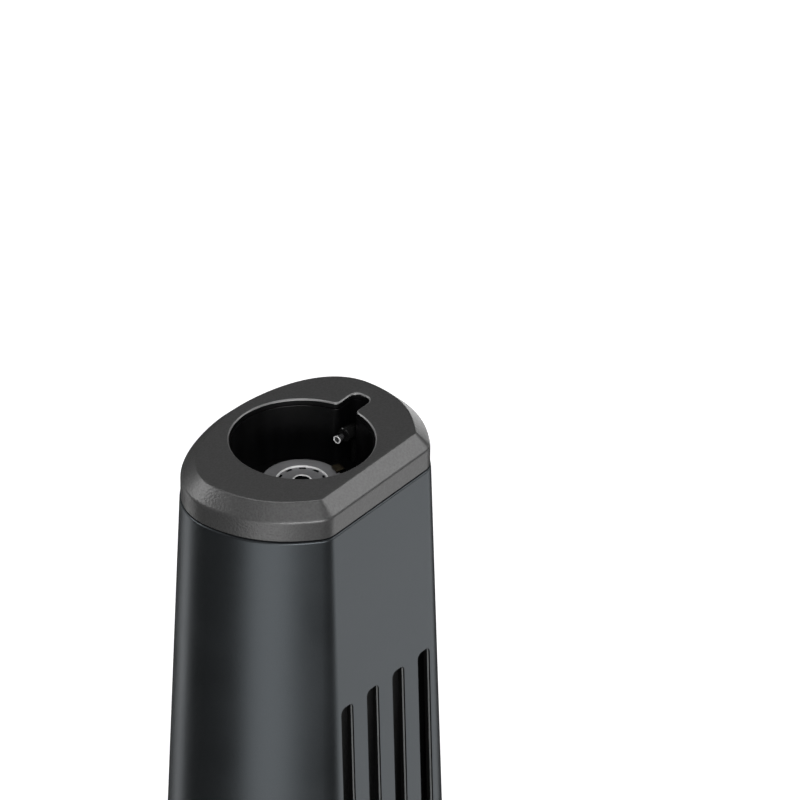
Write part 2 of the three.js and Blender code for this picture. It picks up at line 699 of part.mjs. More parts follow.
function electrodeInsulator() {
  const path = new THREE.CurvePath();
  const bendStart = new THREE.Vector3(INSULATOR_X, AXIS_Y, ELECTRODE_Z - INSULATOR_BEND);
  const bendEnd = new THREE.Vector3(INSULATOR_X - INSULATOR_REACH, AXIS_Y, ELECTRODE_Z);
  const foot = new THREE.Vector3(INSULATOR_X, AXIS_Y, INSULATOR_BOTTOM);
  const corner = new THREE.Vector3(INSULATOR_X, AXIS_Y, ELECTRODE_Z);
  path.add(new THREE.LineCurve3(foot, bendStart));
  path.add(new THREE.QuadraticBezierCurve3(bendStart, corner, bendEnd));
  return tube(path, INSULATOR_RADIUS, 0, 12, 18);
}

// The wire tip that looks out of the insulator towards the burner axis.
function electrodeTip() {
  const length = INSULATOR_X - INSULATOR_REACH - GAP - ELECTRODE_TIP_X;
  const cup = length - TIP_CUP_LENGTH;
  const floor = length - TIP_CUP_DEPTH;
  const points = [
    [0, 0], [TIP_NECK_RADIUS, 0], [TIP_NECK_RADIUS, cup], [TIP_CUP_RADIUS, cup],
    [TIP_CUP_RADIUS, length], [TIP_HOLLOW_RADIUS, length], [TIP_HOLLOW_RADIUS, floor], [0, floor],
  ];
  const geometry = new THREE.LatheGeometry(points.map(([r, h]) => new THREE.Vector2(r, h)), 16);
  geometry.rotateZ(Math.PI / 2);
  geometry.translate(ELECTRODE_TIP_X + length, AXIS_Y, ELECTRODE_Z);
  return solid(geometry);
}

// An upright strip beside the burner with a short arm bent in over the flange.
function groundTab() {
  const outside = FLANGE_RADIUS + GAP + TAB_THICKNESS;
  const top = FLANGE_TOP + 0.2 + TAB_THICKNESS;
  const parts = [
    [[FLANGE_RADIUS + GAP, -TAB_HALF, TAB_BOTTOM], [outside, TAB_HALF, top]],
    [[FLANGE_RADIUS - TAB_HALF, -TAB_HALF, top - TAB_THICKNESS], [outside, TAB_HALF, top]],
  ];
  const turnedParts = parts.map(([low, high]) => {
    const geometry = new THREE.BoxGeometry(...high.map((value, i) => value - low[i]));
    geometry.translate(...high.map((value, i) => (value + low[i]) / 2));
    geometry.rotateZ(TAB_ANGLE);
    geometry.translate(0, AXIS_Y, 0);
    return solid(geometry);
  });
  return union(...turnedParts);
}

function ignitionLead() {
  const points = [
    [0, PIEZO_TERMINAL_Y, PIEZO_Z + PIEZO_HALF + 0.6], [0.2, -5.1, 98.5], [3, -6.4, 105],
    [7.4, -5.8, 111], [9.4, -4.4, 114], [11.2, -2.2, 117], [INSULATOR_X, AXIS_Y - 0.2, 119], [INSULATOR_X, AXIS_Y, INSULATOR_BOTTOM - GAP],
  ];
  const curve = new THREE.CatmullRomCurve3(points.map((point) => new THREE.Vector3(...point)));
  return tube(curve, LEAD_RADIUS, 0, 6, 26);
}

// ---- fuel ----
function fuelTank() {
  const outside = bodyLoft(TANK_BOTTOM, TANK_TOP, -SHELL_WALL - TANK_CLEARANCE);
  const inside = bodyLoft(TANK_BOTTOM + 2, TANK_TOP + 1, -SHELL_WALL - TANK_CLEARANCE - TANK_WALL);
  let tank = cut(outside, inside);
  const tunnelRadius = ROD_RADIUS + 0.65;
  tank = tank.add(rod(tunnelRadius + 1, TANK_BOTTOM, TANK_TOP, ROD_X, ROD_Y));
  for (const y of [-BASE_SCREW_Y, BASE_SCREW_Y]) {
    tank = tank.add(rod(SCREW_POST, TANK_BOTTOM, TANK_BOTTOM + 12, 0, y));
    tank = cut(tank, rod(SCREW_PILOT, TANK_BOTTOM - 1, TANK_BOTTOM + 8, 0, y, 16));
  }
  const rodTunnel = rod(tunnelRadius, TANK_BOTTOM - 1, TANK_TOP + 1, ROD_X, ROD_Y);
  const refillHole = rod(REFILL_OUTER + GAP, TANK_BOTTOM - 1, TANK_BOTTOM + 3, REFILL_X, REFILL_Y);
  return cut(tank, rodTunnel, refillHole);
}

function tankGasket() {
  const outer = -SHELL_WALL - TANK_CLEARANCE;
  return cut(
    bodyLoft(TANK_TOP + 0.2, LID_BOTTOM - 0.2, outer),
    bodyLoft(TANK_TOP - 1, LID_BOTTOM + 1, outer - TANK_WALL),
  );
}

function tankLid() {
  const plate = bodyLoft(LID_BOTTOM, LID_TOP, -SHELL_WALL - TANK_CLEARANCE);
  const holes = [rod(SEAL_RADIUS + 0.2, LID_BOTTOM - 1, LID_TOP + 1, ROD_X, ROD_Y)];
  for (const [x, y] of [...VALVE_SCREWS, ...CHASSIS_SCREWS]) {
    holes.push(rod(SMALL_SCREW_HOLE, LID_BOTTOM + 0.6, LID_TOP + 1, x, y, 16));
  }
  return cut(plate, ...holes);
}

// The brass block on the tank lid, with a hose barb over the needle seat.
function valveBlock() {
  const block = slab([-BLOCK_HALF, BLOCK_FRONT, CHASSIS_BOTTOM], [BLOCK_HALF, BLOCK_BACK, BLOCK_TOP]);
  const barb = turned([
    [GAS_WAY, BLOCK_TOP - JOIN], [BARB_BASE, BLOCK_TOP - JOIN], [BARB_BASE, BLOCK_TOP + 1],
    [BARB_CORE, BLOCK_TOP + 1], [BARB_CORE, BLOCK_TOP + 1.6], [BARB_RIDGE, BLOCK_TOP + 1.6],
    [BARB_CORE, BLOCK_TOP + 2.6], [BARB_RIDGE, BLOCK_TOP + 2.6],
    [BARB_CORE - 0.05, BLOCK_TOP + BARB_HEIGHT], [GAS_WAY, BLOCK_TOP + BARB_HEIGHT],
  ], ROD_X, ROD_Y, 20);
  const needleBore = rod(NEEDLE_BORE, CHASSIS_BOTTOM - 1, NEEDLE_BORE_TOP, ROD_X, ROD_Y);
  const gasWay = rod(GAS_WAY, NEEDLE_BORE_TOP - 1, BLOCK_TOP + BARB_HEIGHT + 0.5, ROD_X, ROD_Y, 20);
  const stemBore = rod(STEM_RADIUS + 0.15, STEM_BORE_BOTTOM, BLOCK_TOP + 1, STEM_X, STEM_Y);
  const holes = VALVE_SCREWS.map(
    ([x, y]) => rod(SMALL_SCREW_HOLE, CHASSIS_BOTTOM - 1, BLOCK_TOP + 1, x, y, 16),
  );
  return cut(union(block, barb), needleBore, gasWay, stemBore, ...holes);
}

function gasHose() {
  const curve = new THREE.CubicBezierCurve3(
    new THREE.Vector3(ROD_X, ROD_Y, BLOCK_TOP + 1.2),
    new THREE.Vector3(ROD_X, ROD_Y, BLOCK_TOP + 20),
    new THREE.Vector3(0, AXIS_Y, JET_COLLAR_BOTTOM - 9.2),
    new THREE.Vector3(0, AXIS_Y, JET_COLLAR_BOTTOM - 0.2),
  );
  return tube(curve, HOSE_OUTER, HOSE_INNER, 10, 16);
}

function valveStem() {
  return turned([
    [0, STEM_BOTTOM], [STEM_RADIUS, STEM_BOTTOM], [STEM_RADIUS, COLLAR_BOTTOM], [COLLAR_RADIUS, COLLAR_BOTTOM],
    [COLLAR_RADIUS, COLLAR_TOP], [STEM_RADIUS, COLLAR_TOP], [STEM_RADIUS, STEM_TOP], [0, STEM_TOP],
  ], STEM_X, STEM_Y, 18);
}

function valveSpring() {
  const length = BRIDGE_BOTTOM - COLLAR_TOP - 2 * GAP;
  const geometry = coilSpring(1.95, 0.25, length, 4.5);
  geometry.translate(STEM_X, STEM_Y, COLLAR_TOP + GAP);
  return solid(geometry);
}

function refillValveBody() {
  return turned([
    [REFILL_BORE, REFILL_BOTTOM], [REFILL_OUTER, REFILL_BOTTOM], [REFILL_OUTER, REFILL_FLANGE_BOTTOM],
    [REFILL_FLANGE, REFILL_FLANGE_BOTTOM], [REFILL_FLANGE, REFILL_FLANGE_TOP],
    [REFILL_OUTER, REFILL_FLANGE_TOP], [REFILL_OUTER, REFILL_TOP], [REFILL_CHAMBER, REFILL_TOP],
    [REFILL_CHAMBER, REFILL_CHAMBER_BOTTOM], [REFILL_BORE, REFILL_CHAMBER_BOTTOM],
  ], REFILL_X, REFILL_Y, 18);
}

function refillCage() {
  const hole = REFILL_GUIDE_RADIUS + 0.2;
  return ring(hole, REFILL_OUTER, REFILL_TOP + GAP, REFILL_CAGE_TOP, REFILL_X, REFILL_Y);
}

function refillStem() {
  return turned([
    [0, REFILL_STEM_BOTTOM], [REFILL_STEM_RADIUS, REFILL_STEM_BOTTOM],
    [REFILL_STEM_RADIUS, REFILL_COLLAR_BOTTOM], [REFILL_COLLAR_RADIUS, REFILL_COLLAR_BOTTOM],
    [REFILL_COLLAR_RADIUS, REFILL_COLLAR_TOP], [REFILL_GUIDE_RADIUS, REFILL_COLLAR_TOP],
    [REFILL_GUIDE_RADIUS, REFILL_GUIDE_TOP], [0, REFILL_GUIDE_TOP],
  ], REFILL_X, REFILL_Y, 18);
}

function refillSpring() {
  const length = REFILL_TOP - REFILL_COLLAR_TOP - GAP;
  const geometry = coilSpring(1.4, 0.25, length, 5.5);
  geometry.translate(REFILL_X, REFILL_Y, REFILL_COLLAR_TOP + GAP);
  return solid(geometry);
}

// ---- flame adjuster ----
function adjustKnob() {
  const disc = rod(KNOB_RADIUS, KNOB_BOTTOM, KNOB_TOP, ROD_X, ROD_Y, 24);
  const hub = rod(KNOB_HUB_RADIUS, KNOB_TOP - JOIN, KNOB_HUB_TOP, ROD_X, ROD_Y);
  const rodHole = rod(ROD_RADIUS + 0.25, ROD_BOTTOM - GAP, KNOB_HUB_TOP + 1, ROD_X, ROD_Y);
  const driverSlot = slab([ROD_X - 3, ROD_Y - 0.5, 0], [ROD_X + 3, ROD_Y + 0.5, KNOB_BOTTOM + 1]);
  let knob = cut(union(disc, hub), rodHole, driverSlot);
  const gripCount = 12;
  const gripCircle = KNOB_RADIUS + 0.15;
  for (let i = 0; i < gripCount; i += 1) {
    const angle = i * 2 * Math.PI / gripCount;
    const x = ROD_X + gripCircle * Math.cos(angle);
    const y = ROD_Y + gripCircle * Math.sin(angle);
    knob = cut(knob, rod(0.4, 0, KNOB_TOP + 0.5, x, y, 6));
  }
  return knob;
}

// The rod that the knob turns, up through the tank to the needle in the valve block.
function adjustRod() {
  return turned([
    [0, ROD_BOTTOM], [ROD_RADIUS, ROD_BOTTOM], [ROD_RADIUS, ROD_SHOULDER],
    [NEEDLE_RADIUS, ROD_TOP], [0, ROD_TOP],
  ], ROD_X, ROD_Y, 20);
}

function adjustSeal() {
  return ring(ROD_RADIUS + 0.15, SEAL_RADIUS, SEAL_BOTTOM, SEAL_TOP, ROD_X, ROD_Y);
}

// ---- chassis and trigger mechanism ----
function chassis() {
  const innerFront = CHASSIS_FRONT + CHASSIS_WALL;
  const front = slab(
    [-CHASSIS_HALF, CHASSIS_FRONT, CHASSIS_BOTTOM],
    [CHASSIS_HALF, innerFront, FRONT_WALL_TOP],
  );
  const sides = [-1, 1].map((side) => {
    const outer = side * CHASSIS_HALF;
    const inner = side * (CHASSIS_HALF - CHASSIS_WALL);
    return slab(
      [Math.min(outer, inner), CHASSIS_FRONT, CHASSIS_BOTTOM],
      [Math.max(outer, inner), CHASSIS_BACK, CHASSIS_TOP],
    );
  });
  const topPlate = slab(
    [-CHASSIS_HALF, CHASSIS_FRONT, CHASSIS_TOP - PLATE_THICKNESS],
    [CHASSIS_HALF, CHASSIS_BACK, CHASSIS_TOP],
  );
  const rear = innerFront - JOIN;
  const shelf = slab([-SHELF_HALF, rear, SHELF_BOTTOM], [SHELF_HALF, PIEZO_FRONT, SHELF_TOP]);
  const leftLip = slab(
    [-SHELF_HALF, PIEZO_REAR, SHELF_BOTTOM + JOIN],
    [-SHELF_HALF + LIP_WALL, PIEZO_FRONT, PIEZO_Z - JOIN],
  );
  const rightLip = slab(
    [SHELF_HALF - LIP_WALL, rear, SHELF_BOTTOM + JOIN],
    [SHELF_HALF, PIEZO_FRONT + 0.1, PIVOT_Z + 1.8],
  );
  const bridge = slab(
    [LEVER_LEFT, STEM_Y - COLLAR_RADIUS, BRIDGE_BOTTOM],
    [CHASSIS_HALF - JOIN, STEM_Y + COLLAR_RADIUS, BRIDGE_BOTTOM + BRIDGE_THICKNESS],
  );
  const feet = CHASSIS_SCREWS.map(
    ([x, y]) => slab([x - 2, rear, CHASSIS_BOTTOM], [x + 2, y + 1.4, CHASSIS_FOOT_TOP]),
  );
  const frame = union(front, ...sides, topPlate, shelf, leftLip, rightLip, bridge, ...feet);
  const holes = CHASSIS_SCREWS.map(
    ([x, y]) => rod(SMALL_SCREW_HOLE, CHASSIS_BOTTOM - 1, CHASSIS_FOOT_TOP + 1, x, y, 16),
  );
  const plateCut = CHASSIS_TOP + 1;
  holes.push(rod(HOLDER_THREAD + GAP, HOLDER_BOTTOM, plateCut, 0, AXIS_Y, 28));
  holes.push(rodX(PIN_RADIUS + 0.12, SHELF_HALF - LIP_WALL - GAP, CHASSIS_HALF + 2, PIVOT_Y, PIVOT_Z));
  holes.push(slab([7.2, innerFront, CHASSIS_TOP - 3], [CHASSIS_HALF - CHASSIS_WALL, -1.5, plateCut]));
  return cut(frame, ...holes);
}

function piezoBody() {
  const chamberHalf = PIEZO_HALF - PIEZO_WALL;
  const top = PIEZO_Z + PIEZO_HALF;
  const body = slab(
    [-PIEZO_HALF, PIEZO_REAR, PIEZO_Z - PIEZO_HALF],
    [PIEZO_HALF, PIEZO_FRONT, top],
  );
  const chamber = slab(
    [-chamberHalf, PIEZO_REAR + PIEZO_END_WALL, PIEZO_Z - chamberHalf],
    [chamberHalf, PIEZO_FRONT + 1, PIEZO_Z + chamberHalf],
  );
  const terminal = rod(1, top - 0.2, top + 0.3, 0, PIEZO_TERMINAL_Y, 12);
  return union(cut(body, chamber), terminal);
}

function piezoPlunger() {
  return slab(
    [-PLUNGER_HALF, PLUNGER_REAR, PIEZO_Z - PLUNGER_HALF],
    [PLUNGER_HALF, TRIGGER_FACE_Y - GAP, PIEZO_Z + PLUNGER_HALF],
  );
}

function triggerSpring() {
  const length = TRIGGER_FACE_Y - PIEZO_FRONT - 2 * GAP;
  const geometry = coilSpring(3.75, 0.3, length, 3.5);
  geometry.rotateX(-Math.PI / 2);
  geometry.translate(0, PIEZO_FRONT + GAP, PIEZO_Z);
  return solid(geometry);
}

function triggerButton() {
  const half = TRIGGER_HALF - GAP;
  const bottom = TRIGGER_BOTTOM + GAP;
  const top = TRIGGER_TOP - GAP;
  const window = windowPrism(0, half, bottom, top, TRIGGER_CORNER - GAP, TRIGGER_FACE_Y, WINDOW_FAR);
  const pad = bodyLoft(bottom - 1, top + 1, TRIGGER_PROUD).intersect(window);
  const flange = skinPatch(
    SLIDING_FACE,
    SLIDING_BACK,
    TRIGGER_HALF + FLANGE_MARGIN,
    TRIGGER_BOTTOM - FLANGE_MARGIN,
    TRIGGER_TOP + FLANGE_MARGIN,
  );
  const ribBlock = slab([RIB_LEFT, RIB_FRONT, RIB_BOTTOM], [RIB_RIGHT, WINDOW_FAR, RIB_TOP]);
  const rib = ribBlock.intersect(bodyLoft(RIB_BOTTOM - 1, RIB_TOP + 1, SLIDING_FACE - 0.15));
  return union(pad, flange, rib);
}

// A bell crank: the trigger's rib pushes its arm, and its two tines lift the stem's collar.
function gasLever() {
  const hub = rodX(LEVER_HUB_RADIUS, LEVER_LEFT, LEVER_RIGHT, PIVOT_Y, PIVOT_Z);
  const tines = [LEVER_LEFT, LEVER_RIGHT - LEVER_WALL].map((x) => union(
    slab([x, STEM_Y - 1, PIVOT_Z - 0.8], [x + LEVER_WALL, PIVOT_Y, PIVOT_Z + 0.8]),
    slab([x, STEM_Y - 0.5, PIVOT_Z], [x + LEVER_WALL, STEM_Y + 0.5, COLLAR_BOTTOM - GAP]),
  ));
  const arm = slab(
    [LEVER_LEFT, PIVOT_Y - 1, RIB_BOTTOM],
    [LEVER_LEFT + LEVER_WALL + 0.1, PIVOT_Y + 1, PIVOT_Z],
  );
  const pinHole = rodX(PIN_RADIUS + 0.08, LEVER_LEFT - 1, LEVER_RIGHT + 1, PIVOT_Y, PIVOT_Z);
  return cut(union(hub, ...tines, arm), pinHole);
}

function leverPin() {
  const headStart = CHASSIS_HALF + GAP;
  return union(
    rodX(PIN_RADIUS, PIN_START, headStart + 0.1, PIVOT_Y, PIVOT_Z),
    rodX(PIN_HEAD_RADIUS, headStart, headStart + PIN_HEAD_THICKNESS, PIVOT_Y, PIVOT_Z),
  );
}

function lockSlider() {
  const knobHalf = LOCK_HALF - GAP;
  const knobBottom = LOCK_BOTTOM + LOCK_TRAVEL + 0.4;
  const knobTop = LOCK_TOP - GAP;
  const plateTop = LOCK_TOP + LOCK_TRAVEL + 0.4;
  const knob = skinPatch(LOCK_PROUD, SLIDING_BACK, knobHalf, knobBottom, knobTop);
  const plate = skinPatch(SLIDING_FACE, SLIDING_BACK, LOCK_HALF + 2, LOCK_BOTTOM - 0.2, plateTop);
  const tongue = skinPatch(SLIDING_FACE, SLIDING_BACK, 2, LOCK_BOTTOM - 1.4, LOCK_BOTTOM + 1);
  const grooves = [];
  const grooveFloor = LOCK_PROUD - LOCK_GROOVE_DEPTH;
  for (let i = 0; i < LOCK_GROOVE_COUNT; i += 1) {
    const z = (knobBottom + knobTop) / 2 + (i - (LOCK_GROOVE_COUNT - 1) / 2) * LOCK_GROOVE_PITCH;
    grooves.push(skinPatch(LOCK_PROUD + 1, grooveFloor, knobHalf + 1, z - 0.3, z + 0.3));
  }
  return cut(union(knob, plate, tongue), ...grooves);
}

// ---- assembly ----
function toGeometry(manifold) {
  const mesh = manifold.getMesh();
  const geometry = new THREE.BufferGeometry();
  geometry.setAttribute('position', new THREE.BufferAttribute(new Float32Array(mesh.vertProperties), 3));
  geometry.setIndex(new THREE.BufferAttribute(new Uint32Array(mesh.triVerts), 1));
  return geometry;
}

const torch = new THREE.Group();

function place(name, manifold, material) {
  const mesh = new THREE.Mesh(toGeometry(manifold), material());
  mesh.name = name;
  torch.add(mesh);
}

place('body_shell', bodyShell(), gunmetal);
place('top_cap', topCap(), darkZinc);
place('bore_liner', boreLiner(), blackSteel);
place('base_cap', baseCap(), darkZinc);
place('base_plate', basePlate(), blackPlastic);
place('foot_ring', footRing(), rubber);

place('flame_disc', flameDisc(), steel);
place('burner_flange', burnerFlange(), steel);
place('burner_tube', burnerTube(), steel);
place('jet_holder', jetHolder(), brass);
place('jet_nut', jetNut(), steel);
place('gas_jet', gasJet(), brass);
place('electrode_insulator', electrodeInsulator(), ceramic);
place('electrode_tip', electrodeTip(), steel);
place('ground_tab', groundTab(), brass);
place('ignition_lead', ignitionLead(), redCable);

place('fuel_tank', fuelTank(), smokePlastic);
place('tank_gasket', tankGasket(), rubber);
place('tank_lid', tankLid(), blackPlastic);
place('valve_block', valveBlock(), brass);
place('gas_hose', gasHose(), rubber);
place('valve_stem', valveStem(), steel);
place('valve_spring', valveSpring(), steel);
place('refill_valve_body', refillValveBody(), brass);
place('refill_cage', refillCage(), brass);
place('refill_stem', refillStem(), brass);
place('refill_spring', refillSpring(), steel);

place('adjust_knob', adjustKnob(), blackPlastic);
place('adjust_rod', adjustRod(), brass);
place('adjust_seal', adjustSeal(), rubber);

place('chassis', chassis(), blackPlastic);
place('piezo_body', piezoBody(), blackPlastic);
place('piezo_plunger', piezoPlunger(), blackPlastic);
place('trigger_spring', triggerSpring(), steel);
place('trigger_button', triggerButton(), blackPlastic);
place('gas_lever', gasLever(), steel);
place('lever_pin', leverPin(), steel);
place('lock_slider', lockSlider(), blackPlastic);

[-BASE_SCREW_Y, BASE_SCREW_Y].forEach((y, i) => {
  place(`base_screw_${i + 1}`, screw(0, y, BASE_SCREW), steel);
});
VALVE_SCREWS.forEach(([x, y], i) => {
  place(`valve_screw_${i + 1}`, screw(x, y, VALVE_SCREW), steel);
});
CHASSIS_SCREWS.forEach(([x, y], i) => {
  place(`chassis_screw_${i + 1}`, screw(x, y, CHASSIS_SCREW), steel);
});

export default torch;
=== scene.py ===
# The looks of a hand-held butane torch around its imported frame. Lengths below are in millimetres, turned
# into Blender's metres by MM where a mesh is made. +Z is up, -Y the vented flat, +Y the trigger side.
import json
import math

import bmesh
import bpy
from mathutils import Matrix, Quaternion, Vector
from mathutils.geometry import tessellate_polygon


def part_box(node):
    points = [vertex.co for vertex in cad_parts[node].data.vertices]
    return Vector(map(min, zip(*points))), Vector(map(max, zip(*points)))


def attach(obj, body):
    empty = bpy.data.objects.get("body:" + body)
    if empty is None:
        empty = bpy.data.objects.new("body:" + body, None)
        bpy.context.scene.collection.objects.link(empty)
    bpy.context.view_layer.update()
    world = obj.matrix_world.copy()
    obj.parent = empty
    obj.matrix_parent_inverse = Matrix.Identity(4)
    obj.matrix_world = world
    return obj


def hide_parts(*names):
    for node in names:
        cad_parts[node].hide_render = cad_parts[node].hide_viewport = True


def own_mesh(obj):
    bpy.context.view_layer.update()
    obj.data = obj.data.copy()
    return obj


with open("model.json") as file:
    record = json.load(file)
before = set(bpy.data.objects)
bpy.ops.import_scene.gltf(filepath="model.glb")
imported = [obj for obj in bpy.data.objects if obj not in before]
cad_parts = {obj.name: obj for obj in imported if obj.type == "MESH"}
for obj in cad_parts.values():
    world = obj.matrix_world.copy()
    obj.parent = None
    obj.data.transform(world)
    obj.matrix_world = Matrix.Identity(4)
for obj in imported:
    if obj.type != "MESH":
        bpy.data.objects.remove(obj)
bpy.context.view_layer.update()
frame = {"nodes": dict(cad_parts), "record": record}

MM = 0.001


def node_range(node):
    """A node's lowest and highest corner in millimetres."""
    low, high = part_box(node)
    return low / MM, high / MM


def node_middle(node):
    """The upright line through a node's middle, as x and y."""
    low, high = node_range(node)
    return (low.x + high.x) / 2, (low.y + high.y) / 2


# ---- places and sizes, read from the frame where a part fixes them ----
CAP_LOW, CAP_HIGH = node_range("top_cap")
SHELL_LOW, SHELL_HIGH = node_range("body_shell")
DISC_LOW, DISC_HIGH = node_range("flame_disc")
FLANGE_LOW, FLANGE_HIGH = node_range("burner_flange")
HEIGHT = CAP_HIGH.z
SHELL_TOP = SHELL_HIGH.z
SHELL_BOTTOM = SHELL_LOW.z
SEAM = 0.3
CAP_BOTTOM = SHELL_TOP + SEAM
AXIS_Y = (DISC_LOW.y + DISC_HIGH.y) / 2

# The D outline at the top face; every level is this outline moved outward.
FLAT_DEPTH = 10.63
BACK_DEPTH = 10.57
HALF_WIDTH = 15.45
FLAT_HALF = 9.7
WIDEST_Y = 1
CORNER_ANGLE = math.radians(40)
SIDE_HANDLE = 5.1
SHOULDER_FULLNESS = 0.81
BACK_FULLNESS = 0.25
CAP_OUT = 1.9
CAP_BOTTOM_OUT = 1.88
CAP_CHAMFER_DROP = 1.86
BODY_TOP_OUT = 2
TAPER = 0.0343
SHELL_WALL = 1.0
BODY_CORNER = 0.28

SLOT_PITCH = 5.27
SLOT_COUNT = 4
SLOT_MIDDLES = [(i - (SLOT_COUNT - 1) / 2) * SLOT_PITCH for i in range(SLOT_COUNT)]
SLOT_HALF = 1.25
SLOT_CORNER = 0.8
SLOT_TOP = 119.6
SLOT_BOTTOM = 60

BORE_RADIUS = 9.12
NOTCH_HALF = 1.4
NOTCH_END = 12.7
NOTCH_MOUTH = 0.8
NOTCH_CORNER = 1.1
LIP = 0.25
LINER_DROP = 0.8
LINER_OUT = 0.4
LINER_IN = -0.1

# The burner: two thin raised rings with the ports between them.
RING_RADIUS = 3.35
RING_WIDTH = 0.24
RING_HEIGHT = 0.17
DISC_HOLE = 1.0
PORT_INNER = 2.7
PORT_OUTER = 3.06
PORT_COUNT = 10
PORT_HALF_ANGLE = math.radians(8.5)

# The trigger and the lock, whose windows are cut in the rounded back.
TRIGGER_HALF = 7
TRIGGER_BOTTOM = 84
TRIGGER_TOP = 104
TRIGGER_PROUD = 1.2
GRIP_PITCH = 1.9
GRIP_COUNT = 7
GRIP_HALF = 4.6
LOCK_HALF = 4.2
LOCK_BOTTOM = 111
LOCK_TOP = 120.2
LOCK_PROUD = 1.0
LOCK_TRAVEL = 3
GUIDE_FRONT = -SHELL_WALL - 0.35
GUIDE_BACK = -SHELL_WALL - 1.6

# A window's cutter runs from inside the body to well outside it.
CUT_INSIDE = 8
CUT_OUTSIDE = 30

# The base, as heights and as distances out from the top face's outline.
PLATE_TOP = 3.4
PLATE_OUT = 4.5
LEDGE_OUT = 3.2
FOOT_DEPTH = 1.3

# How finely the D outline is divided.
SIDE_STEPS = 26
BACK_STEPS = 34
CORNER_STEPS = 7

# The bore's middle lies left of and below the middle of the view.
CAMERA_AZIMUTH = math.radians(-53.13)
CAMERA_ELEVATION = math.radians(32.56)
CAMERA_DISTANCE = 1795
CAMERA_ROLL = math.radians(0.41)
VIEW_WIDTH = 99.4
BORE_LEFT = 12.13
BORE_BELOW = 4.89
SENSOR = 36
LIGHT_DISTANCE = 900
AMBIENT = 0.025


# ---- small mesh tools ----
def full_turn(steps):
    return [2 * math.pi * i / steps for i in range(steps)]


def link(name, data):
    piece = bpy.data.objects.new(name, data)
    bpy.context.scene.collection.objects.link(piece)
    return piece


def give_materials(piece, *names):
    for name in names:
        piece.data.materials.append(MATERIALS[name])


def make_piece(name, points, faces):
    """A mesh object from points in millimetres, with its faces turned outward."""
    mesh = bpy.data.meshes.new(name)
    mesh.from_pydata([Vector(point) * MM for point in points], [], faces)
    work = bmesh.new()
    work.from_mesh(mesh)
    bmesh.ops.remove_doubles(work, verts=work.verts, dist=1e-7)
    bmesh.ops.recalc_face_normals(work, faces=work.faces)
    work.to_mesh(mesh)
    work.free()
    return link(name, mesh)


def apply_modifiers(piece):
    graph = bpy.context.evaluated_depsgraph_get()
    mesh = bpy.data.meshes.new_from_object(piece.evaluated_get(graph))
    piece.modifiers.clear()
    piece.data = mesh
    return piece


def smooth(piece, angle=38):
    """Smooth shading that keeps edges sharper than the angle and lets large faces set the normals."""
    piece.data.shade_smooth()
    piece.data.set_sharp_from_angle(angle=math.radians(angle))
    weighted = piece.modifiers.new("weighted", "WEIGHTED_NORMAL")
    weighted.keep_sharp = True
    weighted.weight = 80
    return apply_modifiers(piece)


def add_bevel(piece, width, segments, angle):
    bevel = piece.modifiers.new("bevel", "BEVEL")
    bevel.width = width * MM
    bevel.segments = segments
    bevel.limit_method = "ANGLE"
    bevel.angle_limit = math.radians(angle)
    bevel.use_clamp_overlap = True
    return bevel


def soften(piece, width, segments=2, angle=50, material=-1):
    """Rounds the edges that are sharper than the angle. A material of -1 is that of the faces beside them."""
    add_bevel(piece, width, segments, angle).material = material
    return apply_modifiers(piece)


def carve(piece, cutters):
    """Cuts the cutters out of the piece and removes them."""
    for cutter in cutters:
        cut = piece.modifiers.new("cut", "BOOLEAN")
        cut.operation = "DIFFERENCE"
        cut.solver = "EXACT"
        cut.object = cutter
        apply_modifiers(piece)
        bpy.data.objects.remove(cutter)
    return piece


class Surface:
    """Points and faces of one closed surface, built from rings."""

    def __init__(self):
        self.points = []
        self.faces = []

    def ring(self, points):
        start = len(self.points)
        self.points.extend(points)
        return list(range(start, start + len(points)))

    def bridge(self, rings):
        for low, high in zip(rings, rings[1:]):
            count = len(low)
            for i in range(count):
                j = (i + 1) % count
                self.faces.append((low[i], low[j], high[j], high[i]))

    def cap(self, ring):
        self.faces.append(tuple(ring))

    def solid(self, rings):
        """Joins the rings and closes both ends."""
        self.bridge(rings)
        self.cap(rings[0])
        self.cap(rings[-1])

    def plane_between(self, *rings):
        """Fills the flat area between an outer ring and the rings inside it."""
        loops = [[Vector(self.points[i]) for i in ring] for ring in rings]
        flat = [i for ring in rings for i in ring]
        for a, b, c in tessellate_polygon(loops):
            self.faces.append((flat[a], flat[b], flat[c]))

    def piece(self, name):
        return make_piece(name, self.points, self.faces)


def solid_through(name, outlines):
    """A closed piece through outlines that all have the same number of points."""
    surface = Surface()
    surface.solid([surface.ring(points) for points in outlines])
    return surface.piece(name)


def bend(start, corner, end, t):
    """A point on the curve that leaves start towards the corner and arrives at end."""
    return start * (1 - t) ** 2 + corner * 2 * t * (1 - t) + end * t ** 2


def rounded(profile, radii, steps=5):
    """Replaces the corners of an open 2D profile by curves that start a radius away from each corner."""
    result = [profile[0]]
    for before, corner, after, radius in zip(profile, profile[1:], profile[2:], radii):
        if radius == 0:
            result.append(corner)
            continue
        here = Vector(corner)
        start = here + (Vector(before) - here).normalized() * radius
        end = here + (Vector(after) - here).normalized() * radius
        result += [tuple(bend(start, here, end, i / steps)) for i in range(steps + 1)]
    result.append(profile[-1])
    return result


# ---- the D outline ----
def bezier(points, t):
    """The place on a cubic curve and its direction there."""
    a, b, c, d = (Vector(point) for point in points)
    s = 1 - t
    place = a * s ** 3 + b * 3 * s * s * t + c * 3 * s * t * t + d * t ** 3
    slope = (b - a) * s * s + (c - b) * 2 * s * t + (d - c) * t * t
    return place, slope.normalized()


